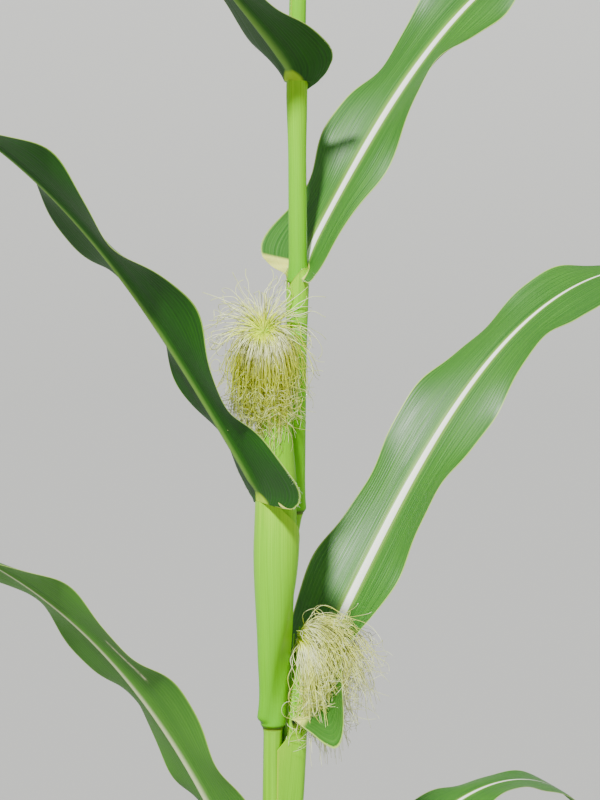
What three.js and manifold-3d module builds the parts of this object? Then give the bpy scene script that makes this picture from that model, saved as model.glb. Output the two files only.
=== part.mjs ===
// A maize plant in flower: a jointed stem on its brace roots, a sheath round each joint,
// a long blade at the top of each sheath, two ears in their husks with their silk, and the tassel.
// Units are millimetres and degrees. +Z is up, and the origin is the middle of the stem's flat cut at
// ground level.
// Seen along +Y, the blades point in turn to the left and front and to the right and back.

import * as THREE from "three";
import { mergeVertices } from "three/addons/utils/BufferGeometryUtils.js";
import Module from "manifold-3d";

const wasm = await Module();
wasm.setup();

// Driving dimensions of the stem
const firstNode = 40;
const internodeLengths = [50, 75, 100, 125, 155, 190, 215, 222, 229, 186, 190, 168, 147];
const tasselFoot = 2300;
const stemRadiusAtGround = 13.5;
const stemRadiusAtTassel = 3.6;
const nodeSwelling = 0.9;
const nodeHalfHeight = 7;
const zigzag = 3;
const lowerEarNode = 7;
const bend = { height: 1112, lean: 11 };
const earJointLean = 24;
const leanStep = 0.9;
const topLean = 2;

// Driving dimensions shared by sheaths, blades and ears
const clearance = 0.35;
const sheathWall = 1.2;
const sheathSlack = 0.6;
const collarFlare = 1.9;
const earCollarFlare = 0.5;
const collarAboveNode = 16;
const topSheathLength = 86;
const sheathAboveNode = 19;
const shankAboveNode = 12;
const shankGap = 1.2;
const leftTurn = 215;
const rightTurn = 35;

// A lobe is where a margin turns outwards beside the collar: how far and which way it turns from the
// blade's own, how far it hangs down, and how far along the blade it ends and is fullest.
const plainLobe = { push: 7, turn: 90, droop: 5, reach: 95, full: 14 };

// What a leaf has unless its own entry says otherwise: how far its collar slopes down to the far side,
// its sheath's bulge, its width near its foot as a share of the whole, its lobes, and the length,
// height and start of the waves of its margins.
const plainLeaf = {
  slope: 19,
  bulge: 0,
  base: 0.96,
  lobes: [plainLobe, plainLobe],
  wave: { length: 200, height: 0.1, start: 0.16 },
};

// One entry for each leaf, from the ground up: the stem joint that bears it, the way it points, the
// angles of its midrib above level at its foot and at its tip, how late it bends, its size, its twist
// to one side, and how far along it the first wave of its right and of its left margin stands highest.
const leaves = [
  {
    joint: 2, turn: rightTurn - 14, rise: 42, tip: -66, bend: 1.3,
    length: 430, width: 48, roll: 8, crests: [90, 40],
  },
  {
    joint: 3, turn: leftTurn + 10, rise: 50, tip: -60, bend: 1.5,
    length: 560, width: 60, roll: -8, crests: [20, 90],
  },
  {
    joint: 4, turn: rightTurn + 12, rise: 57, tip: -56, bend: 1.6,
    length: 700, width: 74, roll: 14, crests: [150, 60],
  },
  {
    joint: 5, turn: leftTurn + 2, rise: 64, tip: -12, bend: 1.77,
    length: 820, width: 84, roll: 12, crests: [112, 95],
    wave: { length: 170, height: 0.1, start: 0.16 },
  },
  {
    joint: 6, turn: rightTurn, rise: 58, tip: -66, bend: 2.9,
    length: 860, width: 101, roll: 21.5, crests: [136, 36],
    slope: 32, base: 1.08,
    lobes: [plainLobe, { push: 54.5, turn: 102, droop: 52, reach: 61, full: 21.7 }],
    wave: { length: 212, height: 0.111, start: 0.15 },
  },
  {
    joint: 7, turn: leftTurn, rise: 56, tip: -60, bend: 2.5,
    length: 880, width: 96, roll: -3, crests: [34, 29],
    slope: 60, base: 0.6, bulge: 2.6,
    lobes: [{ push: 62, turn: 77, droop: -3, reach: 91, full: 0 }, plainLobe],
    wave: { length: 195, height: 0.138, start: 0.13 },
  },
  {
    joint: 8, turn: rightTurn, rise: 57, tip: -58, bend: 2.09,
    length: 850, width: 101, roll: 12.5, crests: [147, 27],
    slope: 23, base: 0.62,
    lobes: [
      { push: 48, turn: 87, droop: -4, reach: 135, full: -8 },
      { push: 8, turn: 150, droop: 35, reach: 200, full: 18 },
    ],
    wave: { length: 207, height: 0.138, start: 0.15 },
  },
  {
    joint: 9, turn: leftTurn + 17, rise: 37, tip: -60, bend: 2.2,
    length: 790, width: 92, roll: -44, crests: [204, 0],
    lobes: [{ ...plainLobe, push: 10 }, plainLobe],
  },
  {
    joint: 10, turn: rightTurn - 6, rise: 61, tip: -52, bend: 2.1,
    length: 720, width: 86, roll: 10, crests: [0, 110],
  },
  {
    joint: 11, turn: leftTurn + 8, rise: 64, tip: -38, bend: 2.1,
    length: 620, width: 78, roll: -8, crests: [80, 30],
  },
  {
    joint: 12, turn: rightTurn + 8, rise: 68, tip: -14, bend: 2,
    length: 500, width: 66, roll: 6, crests: [30, 100],
  },
  {
    joint: 13, turn: leftTurn - 6, rise: 71, tip: 18, bend: 2,
    length: 370, width: 52, roll: 0, crests: [110, 70],
  },
].map((leaf) => ({ ...plainLeaf, ...leaf }));

// Ears: the leaf joint whose sheath holds the ear, the middle and tip of its axis, and its size
const lowerEar = {
  joint: 6, turn: rightTurn, middle: [24, 16, 900], tip: [26, 20, 1047],
  radius: 11, tipRadius: 4.5, shank: 4.5,
};
const upperEar = {
  joint: 7, turn: leftTurn, middle: [21, -42, 1180], tip: [-7, -24, 1354],
  radius: 19.5, tipRadius: 6, shank: 5,
};
const ears = [lowerEar, upperEar];

// Where the stem beside the lower ear is bare: from this height up, on the side away from the ear
const bareStemFoot = 800;
const bareSideCut = { away: 20, deep: 44, wide: 60, tall: 400 };

// Colours, as seen in full sun
const green = {
  stem: new THREE.MeshStandardMaterial({ color: "#8fbf3a", roughness: 0.5 }),
  sheath: new THREE.MeshStandardMaterial({ color: "#86b83c", roughness: 0.5 }),
  blade: new THREE.MeshStandardMaterial({ color: "#3f7a34", roughness: 0.45 }),
  husk: new THREE.MeshStandardMaterial({ color: "#a3cc3f", roughness: 0.55 }),
  silk: new THREE.MeshStandardMaterial({ color: "#c9c76a", roughness: 0.6 }),
  tassel: new THREE.MeshStandardMaterial({ color: "#b3a95a", roughness: 0.8 }),
};

const up = new THREE.Vector3(0, 0, 1);
const radians = THREE.MathUtils.degToRad;
const { lerp, smoothstep } = THREE.MathUtils;

// Level unit vector that points the way of a turn in degrees
const heading = (turn) => new THREE.Vector3(Math.cos(radians(turn)), Math.sin(radians(turn)), 0);

// Heights of the joints, from the ground up
const nodeHeights = internodeLengths.reduce(
  (heights, gap) => [...heights, heights.at(-1) + gap],
  [firstNode],
);

// Middle of the stem at each joint: a slight zigzag in the plane of the leaves, and a lean at the upper ear
const nodeCentres = nodeHeights.map((height, i) => {
  const side = i % 2 ? 0.5 : -0.5;
  const swing = heading(rightTurn).multiplyScalar(side * zigzag * smoothstep(height, 0, nodeHeights[2]));
  const lean = i > lowerEarNode ? earJointLean + (i - lowerEarNode) * leanStep : 0;
  return new THREE.Vector3(swing.x + lean, swing.y, height);
});
const stemKnots = [
  new THREE.Vector3(0, 0, 0),
  ...nodeCentres.slice(0, lowerEarNode + 1),
  new THREE.Vector3(bend.lean, 0, bend.height),
  ...nodeCentres.slice(lowerEarNode + 1),
  new THREE.Vector3(nodeCentres.at(-1).x + topLean, 0, tasselFoot),
];

// Middle of the stem at a height
function stemCentre(height) {
  const next = stemKnots.findIndex((knot) => knot.z >= height);
  if (next <= 0) return (next ? stemKnots.at(-1) : stemKnots[0]).clone().setZ(height);
  const [low, high] = [stemKnots[next - 1], stemKnots[next]];
  return low.clone().lerp(high, (height - low.z) / (high.z - low.z));
}

// Radius of the bare stem at a height, between its joints
const stemRadius = (height) => lerp(stemRadiusAtGround, stemRadiusAtTassel, height / tasselFoot);

// Closed solid through rings of points, which all have the same count and turn the same way.
// Where strip is set, a ring runs out along one side of a thin section and back along the other.
function loft(rings, strip = false) {
  const count = rings[0].length;
  const positions = rings.flat().flatMap((point) => point.toArray());
  const index = [];
  for (let i = 0; i + 1 < rings.length; i += 1) {
    for (let j = 0; j < count; j += 1) {
      const next = (j + 1) % count;
      const [a, b, c, d] = [i * count + j, i * count + next, (i + 1) * count + next, (i + 1) * count + j];
      index.push(a, b, c, a, c, d);
    }
  }
  const last = (rings.length - 1) * count;
  for (const [start, flip] of [[0, true], [last, false]]) {
    const face = (a, b, c) => index.push(start + a, start + (flip ? c : b), start + (flip ? b : c));
    if (strip) {
      for (let j = 0; j < count / 2; j += 1) {
        const far = (count - j) % count;
        if (far !== 0) face(j, j + 1, far);
        if (count - j - 1 !== j + 1) face(j + 1, count - j - 1, far);
      }
    } else {
      for (let j = 1; j + 1 < count; j += 1) face(0, j, j + 1);
    }
  }
  const geometry = new THREE.BufferGeometry();
  geometry.setAttribute("position", new THREE.Float32BufferAttribute(positions, 3));
  geometry.setIndex(index);
  return geometry;
}

// Joined or cut solids are made with manifold-3d, from closed geometry and back
function toSolid(geometry) {
  const merged = mergeVertices(geometry, 1e-4);
  const triVerts = new Uint32Array(merged.index.array);
  const vertProperties = new Float32Array(merged.attributes.position.array);
  const solid = new wasm.Manifold(new wasm.Mesh({ numProp: 3, vertProperties, triVerts }));
  if (solid.volume() > 0) return solid;
  for (let i = 0; i < triVerts.length; i += 3) triVerts.subarray(i, i + 2).reverse();
  return new wasm.Manifold(new wasm.Mesh({ numProp: 3, vertProperties, triVerts }));
}

// Edges shorter than this, which joining and cutting leave behind, are closed up
const shortestEdge = 0.03;

function toGeometry(solid) {
  const bodies = solid.simplify(shortestEdge).decompose();
  const mesh = bodies.reduce((best, body) => (body.volume() > best.volume() ? body : best)).getMesh();
  const geometry = new THREE.BufferGeometry();
  geometry.setAttribute("position", new THREE.BufferAttribute(mesh.vertProperties, 3));
  geometry.setIndex(new THREE.BufferAttribute(mesh.triVerts, 1));
  return geometry;
}

// Round ring of points about a middle, square to a direction
function ring(middle, direction, radius, sides) {
  const side = new THREE.Vector3(1, 0, 0).addScaledVector(direction, -direction.x).normalize();
  const other = direction.clone().cross(side);
  return Array.from({ length: sides }, (_, j) => {
    const angle = (2 * Math.PI * j) / sides;
    const across = side.clone().multiplyScalar(radius * Math.cos(angle));
    return across.addScaledVector(other, radius * Math.sin(angle)).add(middle);
  });
}

// Tapering round limb along a list of points, with a radius for each
function limb(points, radii, sides) {
  const rings = points.map((point, i) => {
    const before = points[Math.max(i - 1, 0)];
    const after = points[Math.min(i + 1, points.length - 1)];
    return ring(point, after.clone().sub(before).normalize(), radii[i], sides);
  });
  return loft(rings);
}

// Stem

function levelRing(height, radius, sides) {
  return ring(stemCentre(height), up, radius, sides);
}

// Heights and radii of the stem's rings, with a low swelling at each joint and one ring at the bend
function stemProfile(grow) {
  const rows = [[0, stemRadius(0)], [bend.height, stemRadius(bend.height)]];
  for (const height of nodeHeights) {
    rows.push([height - nodeHalfHeight, stemRadius(height)]);
    rows.push([height, stemRadius(height) + nodeSwelling]);
    rows.push([height + nodeHalfHeight, stemRadius(height)]);
  }
  rows.push([tasselFoot, stemRadiusAtTassel]);
  return rows.sort((a, b) => a[0] - b[0]).map(([height, radius]) => [height, radius + grow]);
}

const stemSides = 10;

function stemShape(grow) {
  return loft(stemProfile(grow).map(([height, radius]) => levelRing(height, radius, stemSides)));
}

// Brace roots leave the lowest joint all round, bow outwards and end in a flat cut at ground level
const braceRoots = { count: 9, radius: 3.4, tipRadius: 2.6, spread: 52, steps: 4, sides: 6 };

function braceRoot(number) {
  const { count, radius, tipRadius, spread, steps, sides } = braceRoots;
  const out = heading((360 * number) / count + 11 * Math.sin(5 * number));
  const reach = spread * (1 + 0.16 * Math.sin(7 * number + 1));
  const rings = Array.from({ length: steps + 1 }, (_, i) => {
    const along = i / steps;
    const angle = (along * Math.PI) / 2;
    const middle = out.clone().multiplyScalar(lerp(stemRadiusAtGround * 0.5, reach, Math.sin(angle)));
    middle.z = firstNode * Math.cos(angle);
    const across = out.clone().multiplyScalar(-Math.sin(angle)).addScaledVector(up, -Math.cos(angle));
    const side = out.clone().cross(up);
    const size = lerp(radius, tipRadius, along);
    return Array.from({ length: sides }, (_unused, j) => {
      const turn = (2 * Math.PI * j) / sides;
      const off = across.clone().multiplyScalar(size * Math.cos(turn));
      return off.addScaledVector(side, size * Math.sin(turn)).add(middle);
    });
  });
  for (const point of rings.at(-1)) point.z = 0;
  return loft(rings);
}

function stem() {
  let solid = toSolid(stemShape(0));
  for (let i = 0; i < braceRoots.count; i += 1) solid = solid.add(toSolid(braceRoot(i)));
  return toGeometry(solid);
}

// Ears

const earSides = 12;
const earSteps = 11;

// Axis of an ear, from just above the joint that bears it to the tip of its husks
function earAxis(ear) {
  const height = nodeHeights[ear.joint] + shankAboveNode;
  const aside = stemRadius(height) + ear.shank + shankGap;
  const foot = stemCentre(height).addScaledVector(heading(ear.turn), aside);
  const [middle, tip] = [new THREE.Vector3(...ear.middle), new THREE.Vector3(...ear.tip)];
  return new THREE.QuadraticBezierCurve3(foot, middle, tip);
}

// Radius of an ear along its axis: a thin shank, a full middle and a narrow tip
function earRadius(ear, along) {
  const body = lerp(ear.shank, ear.radius, smoothstep(along, 0.05, 0.45));
  return lerp(body, ear.tipRadius, Math.pow(smoothstep(along, 0.55, 1.04), 1.3));
}

function earShape(ear, grow) {
  const axis = earAxis(ear);
  const rings = Array.from({ length: earSteps + 1 }, (_, i) => {
    const along = i / earSteps;
    return ring(axis.getPoint(along), axis.getTangent(along), earRadius(ear, along) + grow, earSides);
  });
  return loft(rings);
}

// Middle and radius of an ear where it passes a height
function earAtHeight(ear, height) {
  const axis = earAxis(ear);
  let [low, high] = [0, 1];
  for (let i = 0; i < 24; i += 1) {
    const middle = (low + high) / 2;
    if (axis.getPoint(middle).z < height) low = middle;
    else high = middle;
  }
  return { centre: axis.getPoint(low).setZ(height), radius: earRadius(ear, low) };
}

// Sheaths

const plainSheath = { sides: 10, steps: 3 };
const earSheath = { sides: 24, steps: 7 };
const cutBeyondRim = 12;

const earOf = (leaf) => ears.find((ear) => ear.joint === leaf.joint);
const flareOf = (leaf) => (earOf(leaf) ? earCollarFlare : collarFlare);

function collarHeight(leaf) {
  const above = nodeHeights[leaf.joint + 1] ?? nodeHeights.at(-1) + topSheathLength;
  return above + collarAboveNode;
}

// Level outline of a sheath: round the stem alone, or drawn tight round the stem and the ear beside it
function sheathRing(leaf, share, grow, sides) {
  const foot = nodeHeights[leaf.joint] + sheathAboveNode;
  const ear = earOf(leaf);
  const flare = flareOf(leaf) * smoothstep(share, 0.6, 1) + leaf.bulge * Math.sin(Math.PI * share);
  const slack = sheathSlack + flare + nodeSwelling * (1 - smoothstep(share, 0, 0.15));
  return Array.from({ length: sides }, (_, j) => {
    const turn = (360 * j) / sides;
    const away = (1 - Math.cos(radians(turn - leaf.turn))) / 2;
    const height = lerp(foot, collarHeight(leaf) - leaf.slope * away, share);
    const out = heading(turn);
    let middle = stemCentre(height);
    let radius = stemRadius(height) + slack;
    if (ear) {
      const held = earAtHeight(ear, height);
      const reach = held.centre.clone().sub(middle).dot(out) + held.radius + slack;
      if (reach > radius) [middle, radius] = [held.centre, held.radius + slack];
    }
    return middle.addScaledVector(out, radius + grow);
  });
}

// Solid tube of a sheath's outline, drawn on past both of its rims by the overshoot
function sheathTube(leaf, grow, overshoot) {
  const { sides, steps } = earOf(leaf) ? earSheath : plainSheath;
  const rings = Array.from({ length: steps + 1 }, (_, i) => sheathRing(leaf, i / steps, grow, sides));
  const moved = (points, rise) => points.map((point) => point.clone().setZ(point.z + rise));
  if (overshoot > 0) {
    rings.unshift(moved(rings[0], -overshoot));
    rings.push(moved(rings.at(-1), overshoot));
  }
  return toSolid(loft(rings));
}

// The lower ear pushes its sheath off the stem, so the stem is bare on the side away from the ear
function bareSide(leaf) {
  const away = heading(leaf.turn + 180);
  const middle = stemCentre(bareStemFoot).addScaledVector(away, bareSideCut.away);
  const cut = new THREE.BoxGeometry(bareSideCut.deep, bareSideCut.wide, bareSideCut.tall);
  cut.deleteAttribute("normal");
  cut.deleteAttribute("uv");
  cut.rotateZ(radians(leaf.turn)).translate(middle.x, middle.y, bareStemFoot + bareSideCut.tall / 2);
  return toSolid(cut);
}

function sheath(leaf) {
  let solid = sheathTube(leaf, sheathWall, 0).subtract(sheathTube(leaf, 0, cutBeyondRim));
  if (leaf.joint === lowerEarNode - 1) solid = solid.subtract(bareSide(leaf));
  return toGeometry(solid);
}

// Blades

const bladeSteps = 24;
const bladePoints = 7;
const spineSteps = 400;
const firstAngle = 87;
const collarBend = 12;
const openingLength = 19;
const widestWrap = 2.2;
const gutter = { nearFoot: 0.3, nearTip: -0.25, foldNearFoot: 9, foldNearTip: 4 };
const lobeCut = 0.28;
const lobeLength = 9;
const bladeThickness = 0.01;
const marginThinning = 0.75;
const leastWidth = 0.8;

// Half width of a blade along its length: rounded at the collar, nearly full beyond, then a long taper
function halfWidth(leaf, along) {
  const rounding = lobeCut * Math.exp((-along * leaf.length) / lobeLength);
  const grown = lerp(leaf.base, 1, smoothstep(along, 0, 0.3)) - rounding;
  return (leaf.width / 2) * grown * (1 - Math.pow(along, 2.8)) + leastWidth;
}

// Where a blade starts: on the outside of its sheath, or of the ear that the sheath holds
function bladeFoot(leaf) {
  const height = collarHeight(leaf) + clearance;
  const ear = earOf(leaf);
  const bare = { centre: stemCentre(height), radius: stemRadius(height) };
  const held = ear ? earAtHeight(ear, height) : bare;
  const radius = held.radius + sheathSlack + flareOf(leaf) + sheathWall / 2;
  return { point: held.centre.clone().addScaledVector(heading(leaf.turn), radius), radius };
}

// Midrib of a blade and the frame of its cross-section, at even steps
function spine(leaf) {
  const { point } = bladeFoot(leaf);
  const side = heading(leaf.turn + 90);
  const out = heading(leaf.turn);
  const stations = [];
  const step = leaf.length / spineSteps;
  for (let i = 0; i <= spineSteps; i += 1) {
    const along = i / spineSteps;
    const bent = leaf.rise - (leaf.rise - leaf.tip) * Math.pow(along, leaf.bend);
    const angle = radians(bent + (firstAngle - leaf.rise) * Math.exp((-along * leaf.length) / collarBend));
    const forward = out.clone().multiplyScalar(Math.cos(angle)).addScaledVector(up, Math.sin(angle));
    const above = out.clone().multiplyScalar(-Math.sin(angle)).addScaledVector(up, Math.cos(angle));
    const roll = radians(leaf.roll * smoothstep(along, 0.01, 0.3));
    stations.push({
      along,
      point: point.clone(),
      side: side.clone().multiplyScalar(Math.cos(roll)).addScaledVector(above, Math.sin(roll)),
      above: above.clone().multiplyScalar(Math.cos(roll)).addScaledVector(side, -Math.sin(roll)),
    });
    point.addScaledVector(forward, step);
  }
  return stations;
}

// Waves of a blade's margins, which are longer than its midrib
function ruffle(leaf, along, across) {
  const { wave, width, crests } = leaf;
  const phase = (2 * Math.PI * (along * leaf.length - crests[across > 0 ? 0 : 1])) / wave.length;
  const swell = smoothstep(along, 0.2 * wave.start, wave.start) * (1 - smoothstep(along, 0.6, 0.95));
  return width * wave.height * swell * across * across * Math.cos(phase);
}

// How far a margin turns outwards and droops just beyond the collar
function lobeAt(leaf, along, across) {
  const sign = across > 0 ? 1 : -1;
  const { push, turn, droop, reach, full } = leaf.lobes[across > 0 ? 0 : 1];
  const place = along * leaf.length;
  const rising = smoothstep(place, full - 28, full);
  const share = Math.pow(Math.abs(across), 1.6) * rising * (1 - smoothstep(place, full, reach));
  const out = heading(leaf.turn + sign * turn).multiplyScalar(push * share);
  return out.addScaledVector(up, -droop * share);
}

// Cross-section of a blade: it wraps the stem at the collar, then opens to a shallow gutter
function bladeRing(leaf, station, collarRadius) {
  const { along, point, side, above } = station;
  const place = along * leaf.length;
  const half = halfWidth(leaf, along);
  const open = Math.exp(-place / openingLength);
  const closed = Math.min(halfWidth(leaf, 0) / collarRadius, widestWrap);
  const hollow = lerp(gutter.nearFoot, gutter.nearTip, smoothstep(along, 0.1, 0.7));
  const curve = closed * open + hollow * (1 - open);
  const wrap = Math.abs(curve) < 1e-3 ? 1e-3 : curve;
  const folded = lerp(gutter.foldNearFoot, gutter.foldNearTip, smoothstep(along, 0.1, 0.8));
  const fold = radians(folded) * (1 - open);
  const full = leaf.length * bladeThickness * Math.min(1, (1.4 * half) / leaf.width + 0.3);
  const thick = full * Math.min(1, 0.35 + place / 60);
  const [upper, lower] = [[], []];
  for (let j = 0; j < bladePoints; j += 1) {
    const across = (2 * j) / (bladePoints - 1) - 1;
    const away = Math.abs(across);
    const slope = fold + wrap * away;
    const run = (half * (Math.sin(slope) - Math.sin(fold))) / wrap;
    const lift = (half * (Math.cos(fold) - Math.cos(slope))) / wrap + ruffle(leaf, along, across);
    const top = point.clone().addScaledVector(side, Math.sign(across) * run).addScaledVector(above, lift);
    top.add(lobeAt(leaf, along, across));
    upper.push(top);
    if (j === 0 || j === bladePoints - 1) continue;
    const depth = thick * (1 - marginThinning * away);
    const low = top.clone().addScaledVector(side, Math.sign(across) * depth * Math.sin(slope));
    lower.unshift(low.addScaledVector(above, -depth * Math.cos(slope)));
  }
  return [...upper, ...lower];
}

function bladeSolid(leaf) {
  const stations = spine(leaf);
  const { radius } = bladeFoot(leaf);
  const rings = Array.from({ length: bladeSteps + 1 }, (_, i) => {
    const station = stations[Math.round(spineSteps * Math.pow(i / bladeSteps, 1.35))];
    return bladeRing(leaf, station, radius);
  });
  return toSolid(loft(rings, true));
}

// Silk

const silkStrand = { sides: 3, steps: 5, radius: 1.4, tipRadius: 0.6 };
const huskGap = 0.2;

// Strand that leaves the tip of an ear, arches over and hangs
function strand(start, turn, lift, reach, drop) {
  const out = heading(turn);
  const points = Array.from({ length: silkStrand.steps + 1 }, (_, i) => {
    const t = i / silkStrand.steps;
    const rise = lift * Math.sin(Math.PI * Math.min(t * 1.5, 1)) - drop * Math.pow(t, 1.8);
    const away = out.clone().multiplyScalar(reach * Math.sin((Math.PI / 2) * t));
    return away.addScaledVector(up, rise).add(start);
  });
  const radii = points.map((_, i) => lerp(silkStrand.radius, silkStrand.tipRadius, i / silkStrand.steps));
  return toSolid(limb(points, radii, silkStrand.sides));
}

// A solid with its near surroundings: copies of it, shifted by the clearance each way
function withClearance(solid) {
  const gap = clearance + huskGap;
  const shifts = [[gap, 0, 0], [-gap, 0, 0], [0, gap, 0], [0, -gap, 0], [0, 0, gap], [0, 0, -gap]];
  return shifts.reduce((whole, shift) => whole.add(solid.translate(shift)), solid);
}

// What a tuft of silk keeps clear of: the stem with its sheaths, and the ears
function silkKeepsClearOf() {
  const around = toSolid(stemShape(sheathWall + sheathSlack + collarFlare + clearance));
  const lower = leaves.find((leaf) => leaf.joint === lowerEarNode);
  const husks = ears.map((ear) => toSolid(earShape(ear, clearance + huskGap)));
  return [around, sheathTube(lower, sheathWall + clearance, 1), ...husks];
}

// Upper tuft: a mop that hangs evenly round the tip of its ear
const upperSilk = {
  radii: [5, 22, 31, 35, 38, 42, 43, 33],
  heights: [13, 9, -3, -20, -42, -62, -80, -92],
  strands: 20,
};

function upperTuft() {
  const tip = new THREE.Vector3(...upperEar.tip);
  const rings = upperSilk.heights.map((rise, i) => {
    const height = tip.z + rise;
    const middle = rise < 0 ? earAtHeight(upperEar, height).centre : tip.clone().setZ(height);
    return ring(middle, up, upperSilk.radii[i], 12).map((point, j) => {
      const wave = 1 + 0.09 * Math.sin(3.1 * j + 2.3 * i);
      return middle.clone().lerp(point, wave);
    });
  });
  let solid = toSolid(loft(rings));
  const start = tip.clone().setZ(tip.z + 2);
  for (let i = 0; i < upperSilk.strands; i += 1) {
    const turn = (360 * i) / upperSilk.strands + 8 * Math.sin(4 * i);
    const reach = 40 + 11 * Math.sin(9.7 * i);
    const drop = 62 + 48 * Math.sin(5.3 * i + 1);
    solid = solid.add(strand(start, turn, 26 + 14 * Math.sin(6.1 * i), reach, drop));
  }
  for (const body of silkKeepsClearOf()) solid = solid.subtract(body);
  return toGeometry(solid);
}

// Lower tuft: a plume that falls over to one side of its ear
const lowerSilk = {
  path: [
    [27, 17, 1049],
    [42, 0, 1058],
    [58, -18, 1056],
    [74, -28, 1043],
    [86, -32, 1020],
    [90, -33, 994],
    [88, -32, 974],
  ],
  radii: [6, 13, 20, 25, 25, 20, 11],
  strands: 18,
};

function lowerTuft() {
  const points = lowerSilk.path.map((place) => new THREE.Vector3(...place));
  let solid = toSolid(limb(points, lowerSilk.radii, 10));
  const start = points[1];
  for (let i = 0; i < lowerSilk.strands; i += 1) {
    const turn = -48 + 30 * Math.sin(3.7 * i);
    const reach = 62 + 18 * Math.sin(7.9 * i + 2);
    const drop = 44 + 38 * Math.sin(5.9 * i);
    solid = solid.add(strand(start, turn, 16 + 9 * Math.sin(4.3 * i), reach, drop));
  }
  const beside = withClearance(bladeSolid(leaves.find((leaf) => leaf.joint === lowerEar.joint)));
  for (const body of [...silkKeepsClearOf(), beside]) solid = solid.subtract(body);
  return toGeometry(solid);
}

// Tassel

const tassel = { spike: 345, spikeRadius: 5.5, branches: 12, firstBranch: 18, branchSpan: 120 };
const tasselBranchShape = { longest: 240, shortest: 165, sides: 5, steps: 5 };

// Side branch of the tassel: it leaves at a steep angle and bows outwards, the lowest ones most
function tasselBranch(number) {
  const { branches, firstBranch, branchSpan } = tassel;
  const { longest, shortest, sides, steps } = tasselBranchShape;
  const share = number / (branches - 1);
  const height = tasselFoot + firstBranch + branchSpan * share;
  const out = heading(number * 137.5 + 20);
  const length = lerp(longest, shortest, share) + 16 * Math.sin(5 * number);
  const start = lerp(58, 72, share);
  const end = lerp(-6, 38, share) + 10 * Math.sin(3 * number);
  const place = stemCentre(tasselFoot).setZ(height);
  const points = [place.clone()];
  for (let i = 0; i < steps; i += 1) {
    const angle = radians(lerp(start, end, (i + 0.5) / steps));
    place.addScaledVector(out, (Math.cos(angle) * length) / steps);
    place.addScaledVector(up, (Math.sin(angle) * length) / steps);
    points.push(place.clone());
  }
  const radii = points.map((_, i) => (i === 0 ? 2 : lerp(4.2, 2.2, i / steps)));
  return toSolid(limb(points, radii, sides));
}

function tasselShape() {
  const foot = stemCentre(tasselFoot).setZ(tasselFoot + clearance);
  const heights = [0, 20, 130, 150, 210, 290, tassel.spike];
  const radii = [3.4, 3.2, 3, tassel.spikeRadius, tassel.spikeRadius, 4.5, 2.4];
  const points = heights.map((height, i) => {
    const sway = i < 2 ? 0 : 3;
    return foot.clone().add(new THREE.Vector3(sway * Math.sin(i), sway * Math.sin(2 * i), height));
  });
  let solid = toSolid(limb(points, radii, 8));
  for (let i = 0; i < tassel.branches; i += 1) solid = solid.add(tasselBranch(i));
  return toGeometry(solid);
}

// The plant

const plant = new THREE.Group();

function addPart(name, geometry, material) {
  const mesh = new THREE.Mesh(geometry, material);
  mesh.name = name;
  geometry.computeVertexNormals();
  plant.add(mesh);
}

addPart("stem", stem(), green.stem);
leaves.forEach((leaf, i) => {
  const number = String(i + 1).padStart(2, "0");
  addPart(`sheath_${number}`, sheath(leaf), green.sheath);
  addPart(`blade_${number}`, toGeometry(bladeSolid(leaf)), green.blade);
});
addPart("ear_lower", toGeometry(toSolid(earShape(lowerEar, 0))), green.husk);
addPart("ear_upper", toGeometry(toSolid(earShape(upperEar, 0))), green.husk);
addPart("silk_lower", lowerTuft(), green.silk);
addPart("silk_upper", upperTuft(), green.silk);
addPart("tassel", tasselShape(), green.tassel);

export default plant;
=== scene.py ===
"""A maize plant in flower, dressed from its roots to its tassel.

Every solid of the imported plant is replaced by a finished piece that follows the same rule, in
millimetres: a jointed stalk on brace roots, a sheath round each joint, a long blade on each sheath, two
ears in their husks with their silk, and the tassel. The rule comes first, then the modelling, the
finishes, the pieces and the studio.
"""

import logging
import math
from dataclasses import dataclass, replace
from enum import Enum
from functools import cached_property

import bpy
import numpy as np
from bpy.types import Material
from bpy.types import NodeSocket as Socket
from bpy.types import NodeTree as Tree
from bpy.types import Object as Piece
from mathutils import Matrix, Vector
from numpy import ndarray as Array


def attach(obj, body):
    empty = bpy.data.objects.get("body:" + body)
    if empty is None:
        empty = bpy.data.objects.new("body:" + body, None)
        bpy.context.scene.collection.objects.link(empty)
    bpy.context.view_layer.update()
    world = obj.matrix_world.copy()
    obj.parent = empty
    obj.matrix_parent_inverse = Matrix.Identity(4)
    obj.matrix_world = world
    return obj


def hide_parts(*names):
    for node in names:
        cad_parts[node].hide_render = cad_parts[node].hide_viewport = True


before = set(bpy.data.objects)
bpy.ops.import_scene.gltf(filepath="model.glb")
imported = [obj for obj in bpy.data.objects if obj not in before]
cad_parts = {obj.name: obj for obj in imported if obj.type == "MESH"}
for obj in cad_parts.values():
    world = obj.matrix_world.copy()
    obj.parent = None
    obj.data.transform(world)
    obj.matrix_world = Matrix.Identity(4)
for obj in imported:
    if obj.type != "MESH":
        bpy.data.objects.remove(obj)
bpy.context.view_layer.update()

Numbers = float | Array
LOG = logging.getLogger("maize")
MM = 0.001  # metres in a millimetre
UP = np.array([0.0, 0.0, 1.0])
LEFT_TURN = 215.0  # the leaves stand in two ranks, which point these two ways, in degrees from +X
RIGHT_TURN = 35.0
LEAF_UV = "leaf"


# Small sums


def lerp(low: Numbers, high: Numbers, share: Numbers) -> Numbers:
    """Value at a share of the way from low to high."""
    return low + (high - low) * share


def smoothstep(value: Numbers, low: float, high: float) -> Numbers:
    """Rises smoothly from 0 at low to 1 at high."""
    share = np.clip((value - low) / (high - low), 0.0, 1.0)
    return share * share * (3.0 - 2.0 * share)


def heading(turn: Numbers) -> Array:
    """Level unit vectors that point the ways of turns in degrees."""
    angle = np.radians(turn)
    return np.stack([np.cos(angle), np.sin(angle), np.zeros_like(angle)], axis=-1)


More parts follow.
